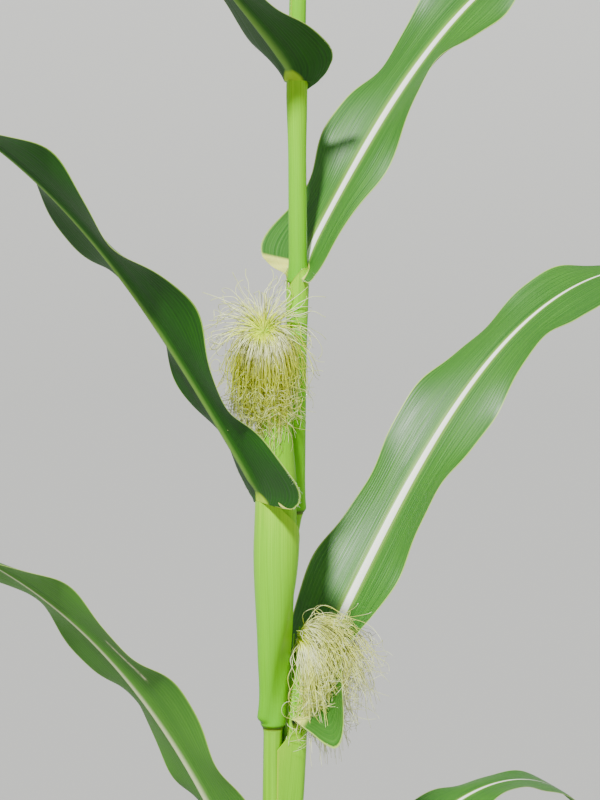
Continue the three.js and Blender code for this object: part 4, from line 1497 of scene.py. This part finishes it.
@dataclass
class Hairs:
    """Short fine hairs on the outer margin of each sheath and on the margins beside each collar.

    Real hairs are finer than 0.1 mm, too fine to show here, so these are drawn 0.2 mm thick.
    """

    forms: tuple[LeafForm, ...]
    levels: int = 26
    spots: int = 22
    each: int = 2
    reach: float = 34.0
    scatter: float = 0.35
    splay: float = 0.6
    sag: float = 0.3
    bend: float = 0.35
    shortest: float = 1.2
    longest: float = 3.4
    radius: float = 0.11
    steps: int = 4

    def roots(self, form: LeafForm) -> Array:
        """Where the hairs of one leaf start."""
        outer = np.array([0.995])
        sheath = [form.sheath_edge(outer, share, 0.2) for share in np.linspace(0.4, 1, self.levels)]
        along = np.linspace(0, self.reach / form.length, self.spots)
        margins = [form.blade_point(np.full_like(along, side), along) for side in (-0.995, 0.995)]
        return np.repeat(np.vstack([*sheath, *margins]), self.each, axis=0)

    def build(self) -> None:
        """Makes the hairs of all leaves in one piece."""
        draw = np.random.default_rng(6)
        roots = np.vstack([self.roots(form) for form in self.forms])
        roots = roots + draw.normal(0, self.scatter, roots.shape)
        off = roots - STALK.centre(roots[:, 2])
        splay = draw.normal(0, self.splay, roots.shape)
        way = unit(unit(off * np.array([1, 1, 0])) + splay - UP * self.sag)
        length = draw.uniform(self.shortest, self.longest, len(roots))
        share = np.linspace(0, 1, self.steps)
        curve = draw.normal(0, self.bend, roots.shape)[:, None] * (share**2)[:, None]
        paths = roots[:, None] + (way[:, None] * share[:, None] + curve) * length[:, None, None]
        radii = np.broadcast_to(self.radius * (1 - 0.7 * share), paths.shape[:2])
        hairs = add_threads("leaf_hairs", paths, radii)
        hairs.data.materials.append(PALE_HAIR.build())
        hand_in(hairs, [])


@dataclass
class Ear:
    """An ear wrapped in husk leaves that overlap and end in blunt points.

    Attributes:
        first_tip: share of the axis where the outermost husk ends.
        last_tip: share of the axis where the innermost husk ends.
        wrap: how far a husk reaches round the ear, each way, in radians.
        sway: how far a husk's middle stands from its side of the ear, in radians.
        flare: how far a husk's tip stands off.
        layer: gap between one husk and the next.
        flat_width: half width of a husk laid flat, for its ribs.
    """

    form: EarForm
    name: str
    node: str
    skin: Material
    husks: int = 9
    columns: int = 20
    rows: int = 48
    first_tip: float = 0.8
    last_tip: float = 1.01
    wrap: float = 2.1
    narrowing: float = 0.8
    sway: float = 0.7
    flare: float = 1.1
    layer: float = 0.28
    thickness: float = 0.4
    flat_width: float = 26.0

    def build_husk(self, number: int) -> Piece:
        """Wraps one husk leaf; the inner ones are higher and closer."""
        husk, across, rows = add_sheet(f"{self.name}_{number}", self.columns, self.rows)
        inward = self.husks - 1 - number
        end = lerp(self.last_tip, self.first_tip, inward / (self.husks - 1))
        share = rows * end
        taper = 1 - smoothstep(rows, 0.8, 1.0) ** 1.5 * self.narrowing
        middle = math.pi * (number % 2) + self.sway * math.sin(2.3 * number)
        angle = middle + self.wrap * across * taper
        _, side, other = self.form.frame(share)
        out = side * np.cos(angle)[:, None] + other * np.sin(angle)[:, None]
        flare = self.flare * smoothstep(rows, 0.86, 1.0) * (1 - across**2)
        radius = self.form.girth(share) + self.layer * (inward - self.husks + 1) + flare
        place_vertices(husk, self.form.axis(share) + out * radius[:, None])
        length = float(np.linalg.norm(np.array(self.form.tip) - self.form.foot)) * end
        write_uv(husk.data, np.stack([rows * length + 10, across * self.flat_width], axis=-1) * MM)
        write_attribute(husk.data, "along", rows)
        write_attribute(husk.data, "across", across)
        husk.data.materials.append(self.skin)
        finish_with(husk, "SOLIDIFY", thickness=self.thickness * MM, offset=-1)
        return husk

    def build(self) -> None:
        """Makes the ear and seats it in place of its CAD solid."""
        ear = join([self.build_husk(number) for number in range(self.husks)], self.name)
        shade(ear, 55)
        hand_in(ear, [self.node])


class Tuft(Enum):
    """How the silk of an ear falls."""

    MOP = "all round its ear"
    PLUME = "over to one side"


@dataclass
class Silk:
    """The silk of one ear, thread by thread.

    Real silk is about 0.3 mm thick, too fine to show here, so its threads are drawn 0.8 mm thick and fewer.

    Attributes:
        tuft: how it falls.
        face: the way its knot looks.
        opening: angles between that way and its threads, of the innermost and the outermost, in degrees.
        length: shortest and longest thread that hangs.
        weight: how much the lightest and the heaviest of them bend down, per millimetre.
        upright_share: share of the threads that stand up or out instead of hanging.
        upright_length: shortest and longest of these.
        upright_weight: how much the lightest and the heaviest of these bend down.
        upright_run: how much of the material's colours these run through, which keeps them mostly pale: a
            painted highlight for the light on them.
        end: shares of a thread between which its end starts to curl.
        end_lift: how much of its weight an end loses.
        swing: least and most that a thread wavers, per millimetre.
        waves: fewest and most wavers of a thread, in radians.
        sink: how far below the husks' tip its knot sits.
        sheath_cover: how far the sheaths stand off the stalk, for threads that hang on them.
    """

    form: EarForm
    name: str
    node: str
    tuft: Tuft
    skin: Material
    face: tuple[float, float, float]
    opening: tuple[float, float]
    count: int
    seed: int
    length: tuple[float, float]
    weight: tuple[float, float]
    upright_share: float = 0.0
    upright_length: tuple[float, float] = (32, 80)
    upright_weight: tuple[float, float] = (0.003, 0.03)
    upright_size: float = 1.35
    upright_run: float = 0.36
    curl: float = 0.22
    end: tuple[float, float] = (0.5, 0.75)
    end_lift: float = 0.7
    swing: tuple[float, float] = (0.01, 0.1)
    waves: tuple[float, float] = (12, 32)
    sink: float = 0.0
    steps: int = 36
    radius: float = 0.42
    end_taper: float = 0.45
    sheath_cover: float = 5.2
    gap: float = 0.8

    def draw_threads(self) -> tuple[Array, ...]:
        """Draws each thread's root, first direction, length, weight and curl."""
        draw = np.random.default_rng(self.seed)
        spread = np.sqrt(draw.uniform(0, 1, self.count))
        turn = draw.uniform(0, 2 * math.pi, self.count)
        if self.tuft is Tuft.MOP:
            fall = -math.pi / 2 + draw.normal(0, 1.3, self.count)
            rise = 1.9 + draw.normal(0, 0.75, self.count)
            turn = np.where(self.upright, rise, fall)
            standing = draw.uniform(*self.upright_length, self.count)
            length = np.where(self.upright, standing, draw.uniform(*self.length, self.count))
            light = draw.uniform(*self.upright_weight, self.count)
            weight = np.where(self.upright, light, draw.uniform(*self.weight, self.count))
        else:
            over = draw.uniform(0.7, 1.9, self.count)
            turn = np.where(turn < math.pi, over, draw.uniform(-2.7, -0.9, self.count))
            length = draw.uniform(*self.length, self.count)
            weight = draw.uniform(*self.weight, self.count)
        face = unit(np.array(self.face))
        right = unit(np.cross(UP, face))
        round_it = right * np.cos(turn)[:, None] + np.cross(face, right) * np.sin(turn)[:, None]
        opening = np.radians(lerp(self.opening[0], self.opening[1], spread))[:, None]
        way = face * np.cos(opening) + round_it * np.sin(opening)
        curl = draw.uniform(-0.2, 1, self.count).clip(0) * self.curl
        knot = np.array(self.form.tip) - UP * self.sink + face
        root = knot + round_it * (self.form.tip_radius * 0.8 * spread)[:, None]
        return root, unit(way), length, weight, curl

    @cached_property
    def upright(self) -> Array:
        """Which threads stand up or out instead of hanging."""
        draw = np.random.default_rng(self.seed + 2)
        return draw.uniform(0, 1, self.count) < self.upright_share

    def paths(self) -> Array:
        """Lets each thread rise, arch over, hang and curl at its end, clear of ears and stalk."""
        draw = np.random.default_rng(self.seed + 3)
        place, way, length, weight, curl = self.draw_threads()
        axis = unit(draw.normal(0, 1, (self.count, 3)))
        wander = unit(draw.normal(0, 1, (self.count, 3)))
        phase = draw.uniform(0, 2 * math.pi, self.count)[:, None]
        swing = draw.uniform(*self.swing, self.count)[:, None]
        turns = draw.uniform(*self.waves, self.count)[:, None]
        points = [place]
        step = (length / self.steps)[:, None]
        for number in range(self.steps):
            share = number / self.steps
            end = float(smoothstep(share, *self.end))
            bend = np.cross(axis, way) * (curl[:, None] * end)
            waver = wander * swing * np.sin(phase + turns * share)
            fall = UP * weight[:, None] * (1 - self.end_lift * end)
            way = unit(way + (bend + waver - fall) * step)
            place = self.keep_clear(place + way * step)
            points.append(place)
        return np.stack(points, axis=1)

    def keep_clear(self, place: Array) -> Array:
        """Moves points that are inside the stalk, its sheaths or the ears out to their faces."""
        height = place[:, 2]
        bodies = [(STALK.centre(height), STALK.radius(height) + self.sheath_cover)]
        for ear in (LOWER_EAR, UPPER_EAR):
            middle, girth = ear.at_height(height)
            bodies.append((middle, np.where(height < ear.tip[2], girth + self.gap, 0.0)))
        for middle, radius in bodies:
            off = place - middle
            reach = np.linalg.norm(off[:, :2], axis=1)
            grow = np.maximum(radius / np.maximum(reach, 1e-6), 1.0)[:, None]
            place = np.where(grow > 1, middle + off * np.array([1, 1, 0]) * grow, place)
        return place

    def build(self) -> None:
        """Makes the tuft and seats it in place of its CAD solid."""
        paths = self.paths()
        share = np.linspace(0, 1, self.steps + 1)
        size = np.where(self.upright, self.upright_size, 1.0)
        radii = self.radius * size[:, None] * (1 - self.end_taper * share)
        draw = np.random.default_rng(self.seed + 1)
        tint = np.where(self.upright, 0.0, draw.uniform(0.0, 1, self.count) ** 1.5)
        run = np.where(self.upright, self.upright_run, 1.0)
        tuft = add_threads(self.name, paths, radii, tint, run)
        tuft.data.materials.append(self.skin)
        hand_in(tuft, [self.node])


@dataclass
class Tassel:
    """The tassel: a spike and its side branches, set with paired spikelets and hung with anthers.

    Attributes:
        branch_turn: how far round the spike each branch is from the one before, in degrees.
        anther_profile: share of the fall, and radius there, of each point of an anther and its thread.
    """

    spike: float = 345.0
    sway: float = 3.0
    branches: int = 12
    first_branch: float = 18.0
    branch_span: float = 120.0
    branch_lengths: tuple[float, float] = (240, 165)
    branch_turn: float = 137.5
    branch_steps: int = 12
    axis_points: int = 30
    spike_radii: tuple[float, float] = (3.3, 1.0)
    branch_radii: tuple[float, float] = (1.25, 0.5)
    spikelet_length: float = 9.5
    spikelet_width: float = 3.1
    pair_gap: float = 5.2
    anthers: int = 16
    anther_profile: tuple[tuple[float, float], ...] = (
        (0, 0.15), (0.25, 0.15), (0.5, 0.15),
        (0.52, 0.6), (0.7, 0.8), (0.95, 0.7), (1.0, 0.2),
    )
    clearance: float = 0.35

    def branch_line(self, number: int) -> Array:
        """Middle line of one side branch, which bows outwards, the lowest ones most."""
        share = number / (self.branches - 1)
        length = lerp(*self.branch_lengths, share) + 16 * math.sin(5 * number)
        first, last = lerp(58, 72, share), lerp(-6, 38, share) + 10 * math.sin(3 * number)
        places = (np.arange(self.branch_steps) + 0.5) / self.branch_steps
        angles = np.radians(lerp(first, last, places))[:, None]
        ways = np.cos(angles) * heading(number * self.branch_turn + 20.0) + np.sin(angles) * UP
        start = STALK.centre(STALK.tassel_foot)
        start[2] = STALK.tassel_foot + self.first_branch + self.branch_span * share
        return start + np.vstack([np.zeros(3), np.cumsum(ways * length / self.branch_steps, axis=0)])

    def branch_lines(self) -> list[Array]:
        """Middle lines of the spike, which comes first, and of each side branch."""
        foot = STALK.centre(STALK.tassel_foot) + UP * self.clearance
        heights = np.array([0, 20, 130, 150, 210, 290, self.spike])
        turns = np.arange(len(heights))
        sway = np.where(turns < 2, 0, self.sway)
        spike = foot + np.stack([sway * np.sin(turns), sway * np.sin(2 * turns), heights], axis=-1)
        return [spike, *[self.branch_line(number) for number in range(self.branches)]]

    def even(self, line: Array, count: int) -> Array:
        """Evenly spaced points of a line."""
        gone = distance(line)
        return along_line(np.linspace(0, 1, count), gone / gone[-1], line)

    def build_axes(self) -> Piece:
        """The thin green axes of the spike and of the branches."""
        lines = np.stack([self.even(line, self.axis_points) for line in self.branch_lines()])
        share = np.linspace(0, 1, self.axis_points)
        radii = np.broadcast_to(lerp(*self.branch_radii, share), lines.shape[:2]).copy()
        radii[0] = lerp(*self.spike_radii, share)
        return add_threads("tassel_axes", lines, radii)

    def model_spikelet(self) -> tuple[Array, Array]:
        """Models one spikelet along +Z from a small ball drawn out to a point.

        Returns:
            The spikelet's points, in millimetres, and the corners of its faces.
        """
        deselect()
        bpy.ops.mesh.primitive_uv_sphere_add(segments=6, ring_count=5, radius=0.5 * MM)
        ball = bpy.context.object
        bpy.ops.object.mode_set(mode="EDIT")
        bpy.ops.mesh.select_all(action="SELECT")
        size = (self.spikelet_width, self.spikelet_width * 0.7, self.spikelet_length)
        bpy.ops.transform.resize(value=size)
        bpy.ops.transform.translate(value=(0, 0, self.spikelet_length / 2 * MM))
        bpy.ops.mesh.quads_convert_to_tris()
        bpy.ops.object.mode_set(mode="OBJECT")
        points = np.array([vertex.co for vertex in ball.data.vertices]) / MM
        pinch = 1 - 0.45 * smoothstep(points[:, 2], 5, self.spikelet_length)
        points[:, :2] *= pinch[:, None]
        faces = np.array([face.vertices[:] for face in ball.data.polygons])
        bpy.data.objects.remove(ball)
        return points, faces

    def build_spikelets(self) -> Piece:
        """Sets spikelets all along the axes, in fours on the spike and in pairs on its branches."""
        shape, faces = self.model_spikelet()
        draw = np.random.default_rng(4)
        points, triangles = [], []
        for order, line in enumerate(self.branch_lines()):
            count = int(distance(line)[-1] / self.pair_gap)
            ranks = 4 if order == 0 else 2
            bare = 0.42 if order == 0 else 0.1
            spots = self.even(line, count)
            ways = unit(np.gradient(spots, axis=0))
            for number, (spot, way) in enumerate(zip(spots, ways)):
                if number < count * bare:
                    continue
                side = unit(np.cross(way, [0.3, 0.2, 1.0]))
                other = np.cross(way, side)
                for rank in range(ranks):
                    angle = 2 * math.pi * rank / ranks + number * 2.1 + draw.uniform(-0.25, 0.25)
                    out = side * math.cos(angle) + other * math.sin(angle)
                    axis = unit(way + out * draw.uniform(0.28, 0.5))
                    across = unit(np.cross(axis, out))
                    turned = np.stack([across, np.cross(axis, across), axis], axis=0)
                    size = draw.uniform(0.85, 1.1)
                    points.append(shape * size @ turned + spot + out * 1.2)
                    triangles.append(faces + len(shape) * len(triangles))
        return mesh_from("tassel_spikelets", np.vstack(points), np.vstack(triangles).tolist())

    def build_anthers(self) -> Piece:
        """Hangs ripe anthers on short threads under the branches."""
        draw = np.random.default_rng(9)
        drop, radii = np.array(self.anther_profile).T
        paths = []
        for order, line in enumerate(self.branch_lines()):
            low = 0.45 if order == 0 else 0.2
            for share in draw.uniform(low, 0.97, self.anthers):
                gone = np.linspace(0, 1, len(line))
                spot = along_line(np.array([share]), gone, line)[0]
                out = heading(draw.uniform(0, 360))
                start = spot + out * 3.0
                tall = draw.uniform(4, 8) + 5.0
                fall = UP * (drop * tall)[:, None]
                paths.append(start - fall + out * (2.2 * np.sqrt(drop))[:, None])
        return add_threads("tassel_anthers", np.stack(paths), np.tile(radii, (len(paths), 1)))

    def build(self) -> None:
        """Makes the tassel and seats it in place of its CAD solid."""
        axes = self.build_axes()
        axes.data.materials.append(TASSEL_AXIS.build())
        spikelets = self.build_spikelets()
        spikelets.data.materials.append(SPIKELET.build())
        shade(spikelets, 60)
        anthers = self.build_anthers()
        anthers.data.materials.append(ANTHER.build())
        hand_in(axes, ["tassel"])
        hand_in(spikelets, [])
        hand_in(anthers, [])


@dataclass
class Studio:
    """Pale floor that curves up into a backdrop, soft light and the camera, in metres.

    Attributes:
        suns: for each lamp its name, the way it shines, its strength and its width in degrees.
    """

    flat_radius: float = 13.0
    bowl_radius: float = 75.0
    bowl_height: float = 16.0
    bowl_steps: int = 24
    sides: int = 96
    floor_colour: str = "#b2b2ae"
    suns: tuple[tuple[str, tuple[float, float, float], float, float], ...] = (
        ("key", (0.3, 0.9, -0.86), 7.0, 6.0),
        ("fill", (-0.8, -0.4, -0.6), 0.4, 50.0),
    )
    sky_colour: str = "#eef2f6"
    sky_strength: float = 0.32
    camera_place: tuple[float, float, float] = (0.029, -2.2, 1.5)
    camera_aim: tuple[float, float, float] = (0.029, 0.0, 1.285)
    lens: float = 99.0

    def build_backdrop(self) -> None:
        """Extrudes a disc's rim outwards in rings that rise ever more, like a wide, shallow bowl."""
        deselect()
        bpy.ops.mesh.primitive_circle_add(vertices=self.sides, radius=self.flat_radius, fill_type="NGON")
        floor = bpy.context.object
        floor.name = floor.data.name = "floor"
        bpy.ops.object.mode_set(mode="EDIT")
        bpy.ops.mesh.select_mode(type="EDGE")
        bpy.ops.mesh.select_all(action="DESELECT")
        bpy.ops.mesh.select_non_manifold()
        radius, height = self.flat_radius, 0.0
        for step in range(1, self.bowl_steps + 1):
            share = step / self.bowl_steps
            wider = lerp(self.flat_radius, self.bowl_radius, share) / radius
            rise = self.bowl_height * share**2 - height
            radius, height = radius * wider, height + rise
            bpy.ops.mesh.extrude_edges_move(TRANSFORM_OT_translate={"value": (0, 0, rise)})
            bpy.ops.transform.resize(value=(wider, wider, 1), center_override=(0, 0, height))
        bpy.ops.object.mode_set(mode="OBJECT")
        shade(floor, 80)
        material, _, shader = new_material("pale studio floor")
        shader.inputs["Base Color"].default_value = linear(self.floor_colour)
        shader.inputs["Roughness"].default_value = 0.85
        floor.data.materials.append(material)

    def add_sun(
        self, name: str, towards: tuple[float, float, float], strength: float, width: float
    ) -> None:
        """Adds a far lamp that shines along a direction, with soft-edged shadows."""
        lamp = bpy.data.lights.new(name, "SUN")
        lamp.energy = strength
        lamp.angle = math.radians(width)
        light = bpy.data.objects.new(name, lamp)
        light.rotation_euler = Vector(towards).to_track_quat("-Z", "Y").to_euler()
        bpy.context.scene.collection.objects.link(light)

    def build(self) -> None:
        """Makes the backdrop, the lights and the camera."""
        self.build_backdrop()
        for sun in self.suns:
            self.add_sun(*sun)
        world = bpy.data.worlds.new("studio")
        world.use_nodes = True
        sky = world.node_tree.nodes["Background"].inputs
        sky["Color"].default_value = linear(self.sky_colour)
        sky["Strength"].default_value = self.sky_strength
        bpy.context.scene.world = world
        camera = bpy.data.objects.new("camera", bpy.data.cameras.new("camera"))
        camera.data.lens = self.lens
        camera.location = self.camera_place
        aim = Vector(self.camera_aim) - Vector(self.camera_place)
        camera.rotation_euler = aim.to_track_quat("-Z", "Y").to_euler()
        bpy.context.scene.collection.objects.link(camera)
        bpy.context.scene.camera = camera


def main() -> None:
    """Builds the studio and the plant."""
    logging.basicConfig(level=logging.INFO, format="%(message)s")
    Studio().build()
    Stalk().build()
    skins = {
        "upper": UPPER_SIDE.build(),
        "lower": LOWER_SIDE.build(),
        "unshaded lower": UNSHADED_LOWER_SIDE.build(),
        "sheath": SHEATH.build(),
        "ligule": LIGULE.build(),
    }
    for form in LEAVES:
        Leaf(form, skins).build()
    Hairs(LEAVES).build()
    husk = HUSK.build()
    Ear(LOWER_EAR, "lower_ear", "ear_lower", husk).build()
    Ear(UPPER_EAR, "upper_ear", "ear_upper", husk).build()
    Silk(
        LOWER_EAR,
        "lower_silk",
        "silk_lower",
        Tuft.PLUME,
        PALE_SILK.build(),
        face=(1, -0.72, 0.1),
        opening=(0, 50),
        count=720,
        seed=21,
        length=(66, 140),
        weight=(0.02, 0.034),
        sink=8,
    ).build()
    Silk(
        UPPER_EAR,
        "upper_silk",
        "silk_upper",
        Tuft.MOP,
        FRESH_SILK.build(),
        face=(-0.1, -0.8, 0.6),
        opening=(40, 98),
        count=900,
        seed=12,
        length=(66, 124),
        weight=(0.034, 0.12),
        upright_share=0.13,
    ).build()
    Tassel().build()


if __name__ == "__main__":
    main()
